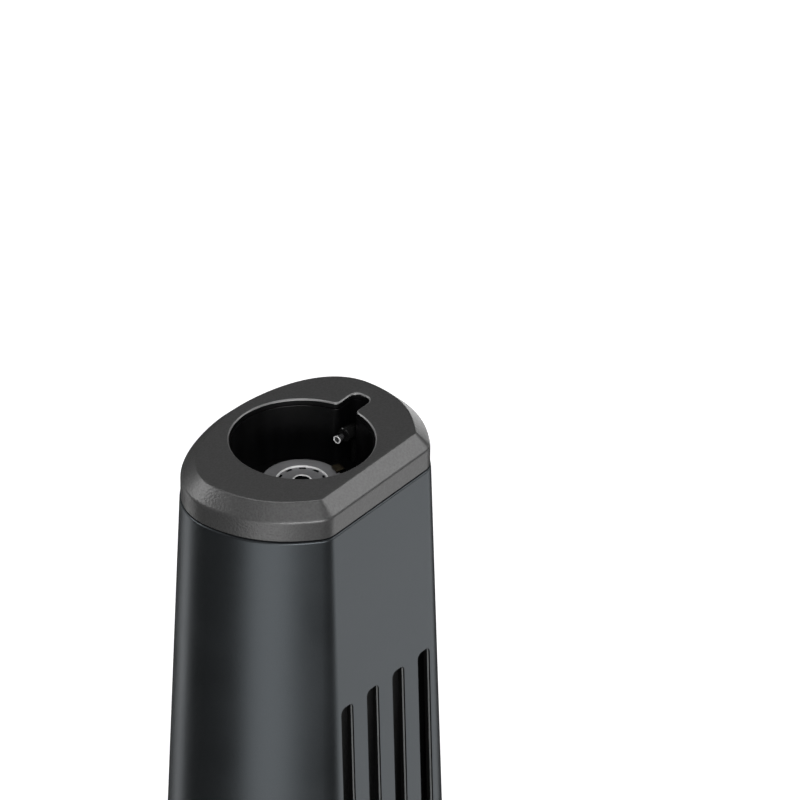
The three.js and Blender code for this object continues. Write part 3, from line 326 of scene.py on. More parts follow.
SIDE_CURVE = (
    (FLAT_HALF, -FLAT_DEPTH),
    (FLAT_HALF + SIDE_HANDLE * math.cos(CORNER_ANGLE), -FLAT_DEPTH + SIDE_HANDLE * math.sin(CORNER_ANGLE)),
    (HALF_WIDTH, WIDEST_Y - SIDE_HANDLE),
    (HALF_WIDTH, WIDEST_Y),
)
BACK_CURVE = (
    (HALF_WIDTH, WIDEST_Y),
    (HALF_WIDTH, WIDEST_Y + SHOULDER_FULLNESS * (BACK_DEPTH - WIDEST_Y)),
    (BACK_FULLNESS * HALF_WIDTH, BACK_DEPTH),
    (0, BACK_DEPTH),
)


def moved(curve, t, offset):
    place, slope = bezier(curve, t)
    return place + Vector((slope.y, -slope.x)) * offset, slope


def d_outline(offset, corner=BODY_CORNER):
    """The D outline moved outward by offset, its two corners rounded over about the corner length."""
    start = corner / (3 * SIDE_HANDLE)
    first, slope = moved(SIDE_CURVE, start, offset)
    flat_y = -FLAT_DEPTH - offset
    apex = Vector((first.x - slope.x * (first.y - flat_y) / slope.y, flat_y))
    flat_end = apex - Vector(((first - apex).length, 0))
    half = [bend(flat_end, apex, first, i / CORNER_STEPS) for i in range(CORNER_STEPS)]
    for i in range(SIDE_STEPS):
        half.append(moved(SIDE_CURVE, start + (1 - start) * i / SIDE_STEPS, offset)[0])
    for i in range(BACK_STEPS + 1):
        half.append(moved(BACK_CURVE, i / BACK_STEPS, offset)[0])
    mirrored = [Vector((-point.x, point.y)) for point in reversed(half[:-1])]
    return half + mirrored


def d_ring(surface, offset, height, corner=BODY_CORNER):
    return surface.ring([(point.x, point.y, height) for point in d_outline(offset, corner)])


def body_offset(height):
    return BODY_TOP_OUT + TAPER * (SHELL_TOP - height)


def back_y(x, offset):
    """Where the rounded back lies at x, for an outline moved outward by offset."""
    low, high = 0.0, 1.0
    for _ in range(30):
        middle = (low + high) / 2
        if moved(BACK_CURVE, middle, offset)[0].x > abs(x):
            low = middle
        else:
            high = middle
    return moved(BACK_CURVE, (low + high) / 2, offset)[0].y


def circle(surface, radius, height, x=0.0, y=AXIS_Y, steps=96):
    angles = full_turn(steps)
    return surface.ring([(x + radius * math.cos(a), y + radius * math.sin(a), height) for a in angles])


# ---- the bore's outline with its notch ----
def arc(centre, radius, start, end, steps):
    angles = [start + (end - start) * i / steps for i in range(steps + 1)]
    return [Vector((centre[0] + radius * math.cos(a), centre[1] + radius * math.sin(a))) for a in angles]


def bore_outline(extra):
    """The opening's outline, wider by extra, run round from the notch's upper corner."""
    mouth_y = NOTCH_HALF + NOTCH_MOUTH
    reach = math.sqrt((BORE_RADIUS + NOTCH_MOUTH) ** 2 - mouth_y ** 2)
    turn = math.atan2(mouth_y, reach)
    end_middle = (NOTCH_END - NOTCH_CORNER, NOTCH_HALF - NOTCH_CORNER)
    upper = [Vector((NOTCH_END + extra, 0))]
    upper += arc(end_middle, NOTCH_CORNER + extra, 0, math.pi / 2, 10)
    upper += arc((reach, mouth_y), NOTCH_MOUTH - extra, -math.pi / 2, -math.pi + turn, 8)
    upper += arc((0, 0), BORE_RADIUS + extra, turn, math.pi, 60)[1:]
    lower = [Vector((point.x, -point.y)) for point in reversed(upper[1:-1])]
    return [Vector((point.x, point.y + AXIS_Y)) for point in upper + lower]


def bore_ring(surface, extra, height):
    return surface.ring([(point.x, point.y, height) for point in bore_outline(extra)])


# ---- cutters ----
def rounded_rectangle(half_width, bottom, top, corner, steps=6):
    points = []
    middles = [
        (half_width - corner, bottom + corner, -math.pi / 2),
        (half_width - corner, top - corner, 0),
        (-half_width + corner, top - corner, math.pi / 2),
        (-half_width + corner, bottom + corner, math.pi),
    ]
    for x, z, start in middles:
        points += arc((x, z), corner, start, start + math.pi / 2, steps)
    return points


def window_cutter(centre_x, half_width, bottom, top, corner, y0, y1):
    outline = rounded_rectangle(half_width, bottom, top, corner)
    return solid_through("cutter", [[(centre_x + p.x, y, p.y) for p in outline] for y in (y0, y1)])


# ---- the outside pieces ----
def build_shell():
    low, high = SHELL_BOTTOM, SHELL_TOP
    bottom, top = body_offset(low), body_offset(high)
    wall = SHELL_WALL
    profile = [
        (bottom - wall, low), (bottom, low), (top, high), (top - wall, high), (bottom - wall, low),
    ]
    rings_2d = rounded(profile, [0.25, 0.28, 0.2], steps=4)[:-1]
    surface = Surface()
    rings = [d_ring(surface, offset, height) for offset, height in rings_2d]
    surface.bridge(rings + rings[:1])
    shell = surface.piece("shell_skin")
    cutters = [window_cutter(x, SLOT_HALF, SLOT_BOTTOM, SLOT_TOP, SLOT_CORNER, -CUT_OUTSIDE, -CUT_INSIDE)
               for x in SLOT_MIDDLES]
    for half, low_z, high_z, corner in (
        (TRIGGER_HALF, TRIGGER_BOTTOM, TRIGGER_TOP, 2),
        (LOCK_HALF, LOCK_BOTTOM, LOCK_TOP, 1),
    ):
        cutters.append(window_cutter(0, half, low_z, high_z, corner, CUT_INSIDE, CUT_OUTSIDE))
    carve(shell, cutters)
    # The slot walls take a material of painted shade with a painted highlight line.
    give_materials(shell, "gunmetal_body", "slot_wall_painted_shade_and_highlight")
    paint_slot_shade_and_highlight(shell)
    return smooth(soften(shell, 0.13, material=0))


def in_bore(point):
    """True for a point on the wall or the lip of the bore and its notch."""
    reach = LIP + 0.05
    if math.hypot(point.x, point.y - AXIS_Y) < BORE_RADIUS + reach:
        return True
    return 0 < point.x < NOTCH_END + reach and abs(point.y - AXIS_Y) < NOTCH_HALF + reach


def build_cap():
    chamfer_z = HEIGHT - CAP_CHAMFER_DROP
    spigot = BODY_TOP_OUT - SHELL_WALL - 0.3
    wall_bottom = SHELL_TOP + 0.15
    edge_profile = [
        (-0.6, HEIGHT), (0, HEIGHT), (CAP_OUT, chamfer_z), (CAP_BOTTOM_OUT, wall_bottom),
        (spigot, wall_bottom), (spigot, CAP_LOW.z), (spigot - 1, CAP_LOW.z), (spigot - 1, CAP_BOTTOM),
    ]
    profile = rounded(edge_profile, [0.14, 0.3, 0.12, 0, 0.3, 0.3], steps=6)[1:]
    surface = Surface()
    rings = []
    for offset, height in profile:
        share = min(1, max(0, (HEIGHT - height) / CAP_CHAMFER_DROP))
        rings.append(d_ring(surface, offset, height, 0.35 + 0.15 * share))
    surface.bridge(rings)
    lip = [bore_ring(surface, LIP * (1 - math.sin(a)), HEIGHT - LIP * (1 - math.cos(a)))
           for a in [math.pi / 2 * i / 6 for i in range(7)]]
    ledge = HEIGHT - LINER_DROP
    recess = 0.6
    inner = [bore_ring(surface, extra, z) for extra, z in ((0, ledge), (recess, ledge), (recess, CAP_BOTTOM))]
    surface.bridge(lip + inner)
    surface.plane_between(rings[0], lip[0])
    surface.plane_between(rings[-1], inner[-1])
    cap = surface.piece("cap_skin")
    give_materials(cap, "textured_cap", "cap_lip_painted_highlight", "black_liner")
    # Faces just inside the bore's top edge take a lighter grey, a painted highlight on the lip; the wall
    # below takes the liner's black.
    for face in cap.data.polygons:
        middle = face.center / MM
        depth = HEIGHT - middle.z
        if 0.01 < depth < LINER_DROP and in_bore(middle):
            face.material_index = 1 if depth < 0.8 * LIP else 2
    return smooth(cap, angle=32)


def build_liner():
    low, high = node_range("bore_liner")
    insulator_low, insulator_high = node_range("electrode_insulator")
    insulator_x = insulator_high.x - (insulator_high.y - insulator_low.y) / 2
    burner_hole, wire_hole = 6.4, 1.25
    surface = Surface()
    floor_top = low.z + 0.8
    wall = [bore_ring(surface, extra, z) for extra, z in (
        (LINER_OUT, low.z), (LINER_OUT, high.z), (-0.06, high.z), (LINER_IN, high.z - 0.1),
        (LINER_IN, floor_top),
    )]
    surface.bridge(wall)
    levels = (floor_top, low.z)
    hole = [circle(surface, burner_hole, z) for z in levels]
    wire = [circle(surface, wire_hole, z, insulator_x, AXIS_Y, 32) for z in levels]
    surface.bridge(hole)
    surface.bridge(wire)
    surface.plane_between(wall[-1], hole[0], wire[0])
    surface.plane_between(wall[0], hole[1], wire[1])
    return smooth(surface.piece("liner_skin"))


# ---- turned pieces ----
def turned(name, profile, x=0.0, y=AXIS_Y, steps=96):
    """A piece turned round an upright axis; a profile off the axis closes on itself."""
    surface = Surface()
    rings = [circle(surface, max(radius, 1e-3), height, x, y, steps) for radius, height in profile]
    if profile[0][0] > 0.01:
        surface.bridge(rings + rings[:1])
    else:
        surface.solid(rings)
    return surface.piece(name)


def closed_profile(points, radius, steps=4):
    """Rounds every corner of a closed profile."""
    count = len(points)
    start = ((points[-1][0] + points[0][0]) / 2, (points[-1][1] + points[0][1]) / 2)
    path = [start, *points, start]
    radii = radius if isinstance(radius, list) else [radius] * count
    return rounded(path, radii, steps)[:-1]


def build_flame_disc():
    """The plate with its ports between two thin raised rings."""
    top = DISC_HIGH.z
    outer = (DISC_HIGH.x - DISC_LOW.x) / 2
    plate = top - RING_HEIGHT
    shoulder = FLANGE_HIGH.z - 0.8
    points = [
        (DISC_HOLE, DISC_LOW.z), (outer, DISC_LOW.z), (outer, shoulder), (RING_RADIUS, shoulder),
        (RING_RADIUS, top), (RING_RADIUS - RING_WIDTH, top), (RING_RADIUS - RING_WIDTH, plate),
        (DISC_HOLE + RING_WIDTH, plate), (DISC_HOLE + RING_WIDTH, top), (DISC_HOLE, top),
    ]
    radii = [0.1, 0.1, 0.1, 0, 0.07, 0.09, 0.03, 0.03, 0.09, 0.07]
    disc = turned("disc_skin", closed_profile(points, radii), steps=120)
    cutters = []
    for i in range(PORT_COUNT):
        middle = 2 * math.pi * i / PORT_COUNT
        outline = [(radius, middle + side * PORT_HALF_ANGLE * (k / 3 - 1))
                   for radius, side in ((PORT_INNER, 1), (PORT_OUTER, -1)) for k in range(7)]
        cutters.append(solid_through("cutter", [
            [(r * math.cos(a), AXIS_Y + r * math.sin(a), z) for r, a in outline]
            for z in (DISC_LOW.z - 1, top + 1)]))
    carve(disc, cutters)
    # The raised rings take plain white, a painted highlight.
    give_materials(disc, "burner_steel", "ring_painted_highlight", "black_liner")
    for face in disc.data.polygons:
        middle = face.center / MM
        radius = math.hypot(middle.x, middle.y - AXIS_Y)
        # Port walls and the centre hole take black, painted shade.
        in_port = middle.z < plate - 0.01 and PORT_INNER - 0.01 < radius < PORT_OUTER + 0.01
        if middle.z > plate + 0.01:
            face.material_index = 1
        elif in_port or radius < DISC_HOLE + 0.01:
            face.material_index = 2
    return smooth(disc)


def build_flange():
    low, high = FLANGE_LOW.z, FLANGE_HIGH.z
    outer = (FLANGE_HIGH.x - FLANGE_LOW.x) / 2
    inner = RING_RADIUS + 0.04
    points = [
        (inner, high - 0.7), (outer - 0.4, high - 0.7), (outer - 0.4, low), (outer, low), (outer, high),
        (inner, high),
    ]
    profile = closed_profile(points, [0.1, 0.1, 0.08, 0.08, 0.3, 0.04])
    flange = turned("flange_skin", profile, steps=120)
    return smooth(flange)


# ---- the base ----
def loop_loft(name, profile):
    """A closed profile of (offset, height) pairs carried round the D outline."""
    surface = Surface()
    rings = [d_ring(surface, offset, height) for offset, height in profile]
    surface.bridge(rings + rings[:1])
    return surface.piece(name)


def build_base_cap():
    low, high = node_range("base_cap")
    shoulder = 1.8
    top = SHELL_BOTTOM - SEAM
    ledge_top = 4.9
    points = [
        (body_offset(shoulder) - 1.2, low.z), (body_offset(shoulder), shoulder), (body_offset(top), top),
        (body_offset(top) - 1.3, top), (body_offset(high.z) - 1.3, high.z),
        (body_offset(high.z) - 2.5, high.z), (body_offset(ledge_top) - 2.5, ledge_top),
        (LEDGE_OUT, ledge_top), (LEDGE_OUT, PLATE_TOP + 0.1),
        (PLATE_OUT + 0.1, PLATE_TOP + 0.1), (PLATE_OUT + 0.1, low.z),
    ]
    profile = closed_profile(points, [0.25, 0.7, 0.35, 0.1, 0.3, 0.3, 0.3, 0.3, 0.2, 0.1, 0.2])
    return smooth(loop_loft("base_cap_skin", profile), angle=30)


def build_foot_ring():
    """The rubber foot, with two fine grooves round its underside."""
    points = [(4.0, 0.0), (4.0, FOOT_DEPTH), (1.0, FOOT_DEPTH), (1.0, 0.0)]
    grooves = []
    for middle in (1.95, 3.05):
        grooves += [(middle - 0.2, 0.0), (middle - 0.1, 0.3), (middle + 0.1, 0.3), (middle + 0.2, 0.0)]
    radii = [0.25, 0.1, 0.1, 0.25] + [0.08] * len(grooves)
    return smooth(loop_loft("foot_ring_skin", closed_profile(points + grooves, radii, 3)))


def build_base_plate():
    low, high = node_range("base_plate")
    step = FOOT_DEPTH + SEAM
    surface = Surface()
    outside = rounded(
        [(0.3, low.z), (0.7, low.z), (0.7, step), (PLATE_OUT, step), (PLATE_OUT, PLATE_TOP),
         (4.0, PLATE_TOP)],
        [0.2, 0.1, 0.2, 0.3], steps=3,
    )
    rings = [d_ring(surface, offset, height) for offset, height in outside]
    surface.bridge(rings)
    well = rounded([(5.0, low.z), (4.6, low.z), (4.6, PLATE_TOP), (4.9, PLATE_TOP)], [0.35, 0.2])
    screw = rounded(
        [(2.6, low.z), (2.2, low.z), (2.2, 2.6), (1.3, 2.6), (1.3, high.z), (2.8, high.z), (2.8, PLATE_TOP),
         (3.2, PLATE_TOP)],
        [0.3, 0.1, 0.1, 0.2, 0.3, 0.3],
    )
    lower_holes, upper_holes = [], []
    for node, wall, steps in (
        ("adjust_knob", well, 72), ("refill_valve_body", well, 72), ("base_screw_1", screw, 48),
        ("base_screw_2", screw, 48),
    ):
        hole = [circle(surface, radius, height, *node_middle(node), steps) for radius, height in wall]
        surface.bridge(hole)
        lower_holes.append(hole[0])
        upper_holes.append(hole[-1])
    surface.plane_between(rings[0], *lower_holes)
    surface.plane_between(rings[-1], *upper_holes)
    return smooth(surface.piece("base_plate_skin"))


# ---- patches of the rounded back ----
def patch_width(height, half, bottom, top, corner):
    """Half the width of a rounded rectangle at a height."""
    short = min(height - bottom, top - height)
    if short >= corner:
        return half
    return half - corner + math.sqrt(max(0.0, corner ** 2 - (corner - short) ** 2))


def spread(low, high, count):
    """Numbers from low to high that lie closer together near both ends."""
    return [low + (high - low) * (1 - math.cos(math.pi * i / count)) / 2 for i in range(count + 1)]


def curved_patch(name, shape, outer, inner, rows=112, columns=36):
    """A piece on the back whose outline is a rounded rectangle, given as (half width, bottom, top, corner).

    outer(x, height, inset) and inner(x, height) give the y of its two faces."""
    surface = Surface()
    fronts, backs = [], []
    for height in spread(shape[1], shape[2], rows):
        width = patch_width(height, *shape)
        front, back = [], []
        for x in spread(-width, width, columns):
            inset = edge_distance(x, height, *shape)
            front.append((x, outer(x, height, inset), height))
            back.append((x, inner(x, height), height))
        fronts.append(surface.ring(front))
        backs.append(surface.ring(back))
    for rows_of, turn in ((fronts, 1), (backs, -1)):
        for low, high in zip(rows_of, rows_of[1:]):
            for i in range(columns):
                surface.faces.append((low[i], low[i + 1], high[i + 1], high[i])[::turn])
    pairs = list(zip(fronts, backs))
    for (f0, b0), (f1, b1) in zip(pairs, pairs[1:]):
        surface.faces.append((f0[0], f1[0], b1[0], b0[0]))
        surface.faces.append((f0[-1], b0[-1], b1[-1], f1[-1]))
    for f, b in (pairs[0], pairs[-1]):
        for i in range(columns):
            surface.faces.append((f[i], b[i], b[i + 1], f[i + 1]))
    return surface.piece(name)


def edge_distance(x, height, half, bottom, top, corner):
    """How far a point of a rounded rectangle lies inside its outline."""
    across = half - abs(x)
    along = min(height - bottom, top - height)
    if across < corner and along < corner:
        return corner - math.hypot(corner - across, corner - along)
    return min(across, along)


def edge_drop(inset, radius):
    """How much a rounded edge has fallen at a distance inside the outline."""
    if inset >= radius:
        return 0.0
    return radius - math.sqrt(max(0.0, radius ** 2 - (radius - max(inset, 0.0)) ** 2))


def skin_y(extra):
    return lambda x, height, inset=0: back_y(x, body_offset(height) + extra)


def trigger_face(x, height, inset):
    """The finger pad: a shallow dish with grip ribs across its middle."""
    centre = (TRIGGER_BOTTOM + TRIGGER_TOP) / 2
    dish = 0.5 * math.exp(-((x / GRIP_HALF) ** 2 + ((height - centre) / 7.5) ** 2) ** 2)
    reach = GRIP_PITCH * GRIP_COUNT / 2
    rib = 0.0
    if abs(height - centre) < reach and abs(x) < GRIP_HALF:
        fade = min(1.0, (GRIP_HALF - abs(x)) / 0.5, (reach - abs(height - centre)) / 0.3)
        wave = math.cos(2 * math.pi * (height - centre) / GRIP_PITCH)
        rib = 0.32 * max(0.0, wave) ** 0.7 * fade
    proud = TRIGGER_PROUD - 0.05 - dish + rib - edge_drop(inset, 0.8)
    return back_y(x, body_offset(height) + proud)


def build_trigger():
    margin = 2
    pad_back = 8.5
    pad = curved_patch(
        "trigger_pad", (TRIGGER_HALF - SEAM, TRIGGER_BOTTOM + SEAM, TRIGGER_TOP - SEAM, 1.7), trigger_face,
        lambda x, height: pad_back, rows=150, columns=48,
    )
    flange = curved_patch(
        "trigger_flange", (TRIGGER_HALF + margin, TRIGGER_BOTTOM - margin, TRIGGER_TOP + margin, 1.2),
        skin_y(GUIDE_FRONT), skin_y(GUIDE_BACK),
    )
    rib_end = back_y(5.6, body_offset(83.4) - SHELL_WALL - 1.0)
    rib = bevelled_box("trigger_rib", (4.7, 2.3, 82.6), (6.5, rib_end, 84.2), 0.2)
    return [smooth(pad, 34), smooth(soften(flange, 0.15), 34), rib]


def bevelled_box(name, low, high, width):
    (x0, y0, z0), (x1, y1, z1) = low, high
    box = solid_through(name, [[(x0, y0, z), (x1, y0, z), (x1, y1, z), (x0, y1, z)] for z in (z0, z1)])
    return smooth(soften(box, width, 3))


def build_lock():
    bottom, top = LOCK_BOTTOM + LOCK_TRAVEL + 0.4, LOCK_TOP - SEAM
    centre = (bottom + top) / 2
    rib_pitch = 1.3

    def face(x, height, inset):
        wave = math.cos(2 * math.pi * (height - centre) / rib_pitch)
        fade = min(1.0, max(0.0, (inset - 0.5) / 0.4))
        groove = 0.38 * max(0.0, wave) ** 0.8 * fade * (abs(height - centre) < 1.5 * rib_pitch)
        return back_y(x, body_offset(height) + LOCK_PROUD - 0.02 - groove - edge_drop(inset, 0.45))

    knob = curved_patch("lock_knob", (LOCK_HALF - SEAM, bottom, top, 0.7), face,
                        skin_y(-SHELL_WALL - 1.5), rows=90)
    plate = curved_patch("lock_plate", (LOCK_HALF + 2, LOCK_BOTTOM - 0.2, LOCK_TOP + LOCK_TRAVEL + 0.4, 0.8),
                         skin_y(GUIDE_FRONT), skin_y(GUIDE_BACK))
    tongue = curved_patch("lock_tongue", (2, LOCK_BOTTOM - 1.4, LOCK_BOTTOM + 1, 0.3),
                          skin_y(-SHELL_WALL - 0.38), skin_y(-SHELL_WALL - 1.57), rows=16, columns=12)
    return [smooth(knob, 34), smooth(soften(plate, 0.15), 34), smooth(soften(tongue, 0.12), 34)]


# ---- turned parts that stand for a CAD node ----
def lathe_node(node, profile, radius):
    """Turns a profile, given up from the node's lowest point, with its corners rounded by radius."""
    bottom = node_range(node)[0].z
    placed = [(reach, bottom + height) for reach, height in profile]
    if profile[0][0] > 0:
        path = closed_profile(placed, radius)
    else:
        path = rounded(placed, [radius] * (len(placed) - 2), 4)
    return smooth(turned(node + "_turned", path, *node_middle(node), 72))


TURNED = {
    "jet_holder": ("brass", "housing", 0.12, [
        (1.65, 0), (3.7, 0), (3.7, 4.3), (5.2, 4.3), (5.2, 5.8), (3.5, 5.8), (3.5, 8.6), (1.65, 8.6)]),
    "gas_jet": ("brass", "housing", 0.07, [
        (0.4, 0), (0.8, 0), (1.05, 0.8), (0.85, 0.8), (1.05, 1.8), (0.85, 1.8), (0.85, 2.6), (2.4, 2.6),
        (2.4, 4.6), (1.45, 4.6), (1.45, 15.4), (0.8, 16.9), (0.4, 16.9)]),
    "valve_stem": ("steel", "stem", 0.1, [
        (0, 0), (1.1, 0), (1.1, 19.3), (2.5, 19.3), (2.5, 20.8), (1.1, 20.8), (1.1, 25.4), (0, 25.4)]),
    "refill_valve_body": ("brass", "housing", 0.12, [
        (1.25, 0), (3, 0), (3, 4.2), (4, 4.2), (4, 6.7), (3, 6.7), (3, 15), (2.1, 15), (2.1, 6), (1.25, 6)]),
    "refill_cage": ("brass", "housing", 0.12, [(0.9, 0), (3, 0), (3, 1.2), (0.9, 1.2)]),
    "refill_stem": ("brass", "refill", 0.1, [
        (0, 0), (0.95, 0), (0.95, 7.1), (1.8, 7.1), (1.8, 8.3), (0.7, 8.3), (0.7, 14.2), (0, 14.2)]),
    "adjust_rod": ("brass", "adjuster", 0.1, [(0, 0), (1.25, 0), (1.25, 71.1), (0.3, 72.7), (0, 72.7)]),
    "adjust_seal": ("rubber", "housing", 0.3, [(1.4, 0), (2.2, 0), (2.2, 1.2), (1.4, 1.2)]),
}


def build_burner_tube():
    low, high = node_range("burner_tube")
    outer = (high.x - low.x) / 2
    points = [(outer - 0.8, low.z), (outer, low.z), (outer, high.z), (outer - 0.8, high.z)]
    pipe = turned("burner_tube_turned", closed_profile(points, 0.15))
    hole = 1.2
    cutters = []
    for i in range(4):
        angle = (i + 0.5) * math.pi / 2
        across = Vector((-math.sin(angle), math.cos(angle), 0)) * hole
        out = Vector((math.cos(angle), math.sin(angle), 0))
        middle = Vector((0, AXIS_Y, low.z + 7))
        cutters.append(solid_through("cutter", [
            [tuple(middle + out * reach + across * math.cos(a) + Vector((0, 0, hole * math.sin(a))))
             for a in full_turn(32)]
            for reach in (1.5, outer + 1)]))
    return smooth(soften(carve(pipe, cutters), 0.1))


def build_knob():
    low, high = node_range("adjust_knob")
    x, y = node_middle("adjust_knob")
    disc_top, socket = low.z + 3.3, low.z + 3.9
    grips, steps = 12, 144

    def grip_ring(surface, inset, height):
        points = []
        for a in full_turn(steps):
            reach = 4.2 - inset - 0.3 * max(0.0, math.cos(grips * a)) ** 3
            points.append((x + reach * math.cos(a), y + reach * math.sin(a), height))
        return surface.ring(points)

    surface = Surface()
    rings = [grip_ring(surface, inset, height) for inset, height in
             rounded([(1.0, low.z), (0, low.z), (0, disc_top), (1.0, disc_top)], [0.35, 0.35])]
    rings += [circle(surface, radius, height, x, y, steps) for radius, height in rounded(
        [(2.8, disc_top), (2.4, disc_top), (2.4, high.z), (1.5, high.z), (1.5, socket), (0.3, socket)],
        [0.2, 0.2, 0.2, 0.1])]
    surface.solid(rings)
    knob = surface.piece("adjust_knob_skin")
    slot = bevelled_box("cutter", (x - 3, y - 0.5, low.z - 1), (x + 3, y + 0.5, low.z + 1), 0.2)
    return smooth(soften(carve(knob, [slot]), 0.1))


def build_screw(node, head, head_radius, shank_radius, head_down):
    """A pan-head screw with a cross recess."""
    low, high = node_range(node)
    x, y = node_middle(node)
    length = high.z - low.z
    path = rounded(
        [(0, 0), (head_radius, 0), (head_radius, head), (shank_radius, head), (shank_radius, length)],
        [head * 0.55, 0.1, 0.1],
    )[:-1]
    thread_start, pitch = head + 0.5, 0.5
    turns = int((length - thread_start - 0.5) / pitch)
    for i in range(turns):
        height = thread_start + i * pitch
        path += [(shank_radius, height), (shank_radius - 0.14, height + pitch / 2)]
    path += [(shank_radius, length - 0.45), (shank_radius * 0.6, length), (0, length)]
    side = 1 if head_down else -1
    start = low.z if head_down else high.z
    placed = [(radius, start + side * height) for radius, height in path]
    body = turned(node + "_turned", placed, x, y, 40)
    recess, arm, half = head * 0.55, head_radius * 0.6, head_radius * 0.14
    cutters = []
    for reach_x, reach_y in ((arm, half), (half, arm)):
        bottom, top = sorted((start - side, start + side * recess))
        corners = (x - reach_x, y - reach_y, bottom), (x + reach_x, y + reach_y, top)
        cutters.append(bevelled_box("cutter", *corners, 0.04))
    return smooth(carve(body, cutters))


# ---- tubes along a path ----
def sweep(name, path, radius, sides=20, bore=0.0):
    """A tube along points; radius is a number or one for each point. A bore makes it hollow."""
    count = len(path)
    path = [Vector(point) for point in path]
    tangents = [(path[min(i + 1, count - 1)] - path[max(i - 1, 0)]).normalized() for i in range(count)]
    side = tangents[0].orthogonal().normalized()
    radii = radius if isinstance(radius, list) else [radius] * count
    surface = Surface()
    outside, inside = [], []
    for place, tangent, size in zip(path, tangents, radii):
        side = (side - tangent * side.dot(tangent)).normalized()
        other = tangent.cross(side)
        for wall, reach in ((outside, size), (inside, bore)):
            if reach:
                wall.append(surface.ring([
                    tuple(place + (side * math.cos(a) + other * math.sin(a)) * reach)
                    for a in full_turn(sides)]))
    if bore:
        surface.bridge(outside + inside[::-1] + outside[:1])
    else:
        surface.solid(outside)
    return surface.piece(name)


def coil_points(radius, length, turns, wire):
    """A helix whose end turns close up, as on a ground compression spring."""
    steps = int(turns * 28)
    points = []
    for i in range(steps + 1):
        t = i / steps
        eased = t - 0.035 * math.sin(4 * math.pi * t)
        angle = 2 * math.pi * turns * t
        height = wire + (length - 2 * wire) * eased
        points.append(Vector((radius * math.cos(angle), radius * math.sin(angle), height)))
    return points


def build_spring(node, turns, wire, along_y=False):
    low, high = node_range(node)
    middle = (low + high) / 2
    radius = (high.x - low.x) / 2 - wire
    length = high.y - low.y if along_y else high.z - low.z
    points = coil_points(radius, length, turns, wire)
    if along_y:
        placed = [(middle.x + p.x, low.y + p.z, middle.z - p.y) for p in points]
    else:
        placed = [(middle.x + p.x, middle.y + p.y, low.z + p.z) for p in points]
    return smooth(sweep(node + "_coil", placed, wire, 12), 60)


def curve_through(points, steps):
    """A smooth curve through the points."""
    ends = [points[0] * 2 - points[1], *points, points[-1] * 2 - points[-2]]
    path = []
    for p0, p1, p2, p3 in zip(ends, ends[1:], ends[2:], ends[3:]):
        for i in range(steps):
            t = i / steps
            path.append(0.5 * (p1 * 2 + (p2 - p0) * t + (p0 * 2 - p1 * 5 + p2 * 4 - p3) * t * t
                               + (p1 * 3 - p0 - p2 * 3 + p3) * t ** 3))
    return path + [points[-1]]


# ---- ignition ----
def build_insulator():
    low, high = node_range("electrode_insulator")
    radius = (high.y - low.y) / 2
    x, y, axis_z = high.x - radius, (high.y + low.y) / 2, high.z - radius
    bend_start = Vector((x, y, axis_z - 2))
    corner = Vector((x, y, axis_z))
    bend_end = Vector((low.x, y, axis_z))
    path = [Vector((x, y, low.z)) + Vector((0, 0, 1)) * (bend_start.z - low.z) * i / 24 for i in range(24)]
    path += [bend(bend_start, corner, bend_end, i / 16) for i in range(17)]
    path[-1:] = [bend_end + Vector((0.1, 0, 0)), bend_end]
    radii = [radius] * (len(path) - 1) + [radius - 0.1]
    radii[0] = radius * 0.86
    return smooth(sweep("electrode_insulator_tube", path, radii, 32), 40)


def build_tip():
    """The electrode's wire with its small cup-shaped end, lying along X."""
    low, high = node_range("electrode_tip")
    length = high.x - low.x
    y, z = (low.y + high.y) / 2, (low.z + high.z) / 2
    profile = rounded(
        [(0, 0.3), (0.37, 0.3), (0.39, 0), (0.55, 0), (0.55, 0.45), (0.37, 0.5), (0.37, length), (0, length)],
        [0.03, 0.05, 0.07, 0.1, 0.05, 0.05], 4,
    )
    tip = solid_through("electrode_tip_turned", [
        [(low.x + reach, y + max(radius, 1e-3) * math.cos(a), z + max(radius, 1e-3) * math.sin(a))
         for a in full_turn(40)]
        for radius, reach in profile])
    # The rim of the cup's end takes plain white, a painted highlight.
    give_materials(tip, "electrode_metal", "ring_painted_highlight")
    for face in tip.data.polygons:
        middle = face.center / MM
        radius = math.hypot(middle.y - y, middle.z - z)
        if middle.x < low.x + 0.06 and radius > 0.36:
            face.material_index = 1
    return smooth(tip)


def soften_cad(node, width):
    """A CAD node whose shape stays gets rounded edges and even shading."""
    piece = frame["nodes"][node]
    add_bevel(piece, width, 2, 40).harden_normals = True
    piece.modifiers.new("weighted", "WEIGHTED_NORMAL").keep_sharp = True


def build_ground_tab():
    """A thin folded strip that hooks over the flange's edge."""
    angle = math.radians(-24)
    half, thick = 0.7, 0.35
    radius = FLANGE_HIGH.x + SEAM + 0.02
    top = FLANGE_HIGH.z + 0.55
    inner = FLANGE_HIGH.x - 0.7
    foot = 136
    line = rounded([(radius + thick, foot), (radius + thick, top), (inner, top)], [0.5], 6)
    under = rounded([(inner, top - thick), (radius, top - thick), (radius, foot)], [0.2], 6)
    sine, cosine = math.sin(angle), math.cos(angle)
    strip = solid_through("ground_tab_strip", [
        [(r * cosine - side * sine, AXIS_Y + r * sine + side * cosine, z) for r, z in line + under]
        for side in (-half, half)])
    strip = smooth(soften(strip, 0.06))
    give_materials(strip, "tab_metal")
    return strip


def build_lead():
    low, high = node_range("electrode_insulator")
    x, y = high.x - (high.y - low.y) / 2, (high.y + low.y) / 2
    points = [(0, -4.8, 94.6), (0.2, -5.1, 98.5), (3, -6.4, 105), (7.4, -5.8, 111), (9.4, -4.4, 114),
              (11.2, -2.2, 117), (x, y - 0.2, 119), (x, y, low.z - SEAM)]
    path = curve_through([Vector(point) for point in points], 10)
    return smooth(sweep("ignition_lead_wire", path, 0.69, 16), 60)


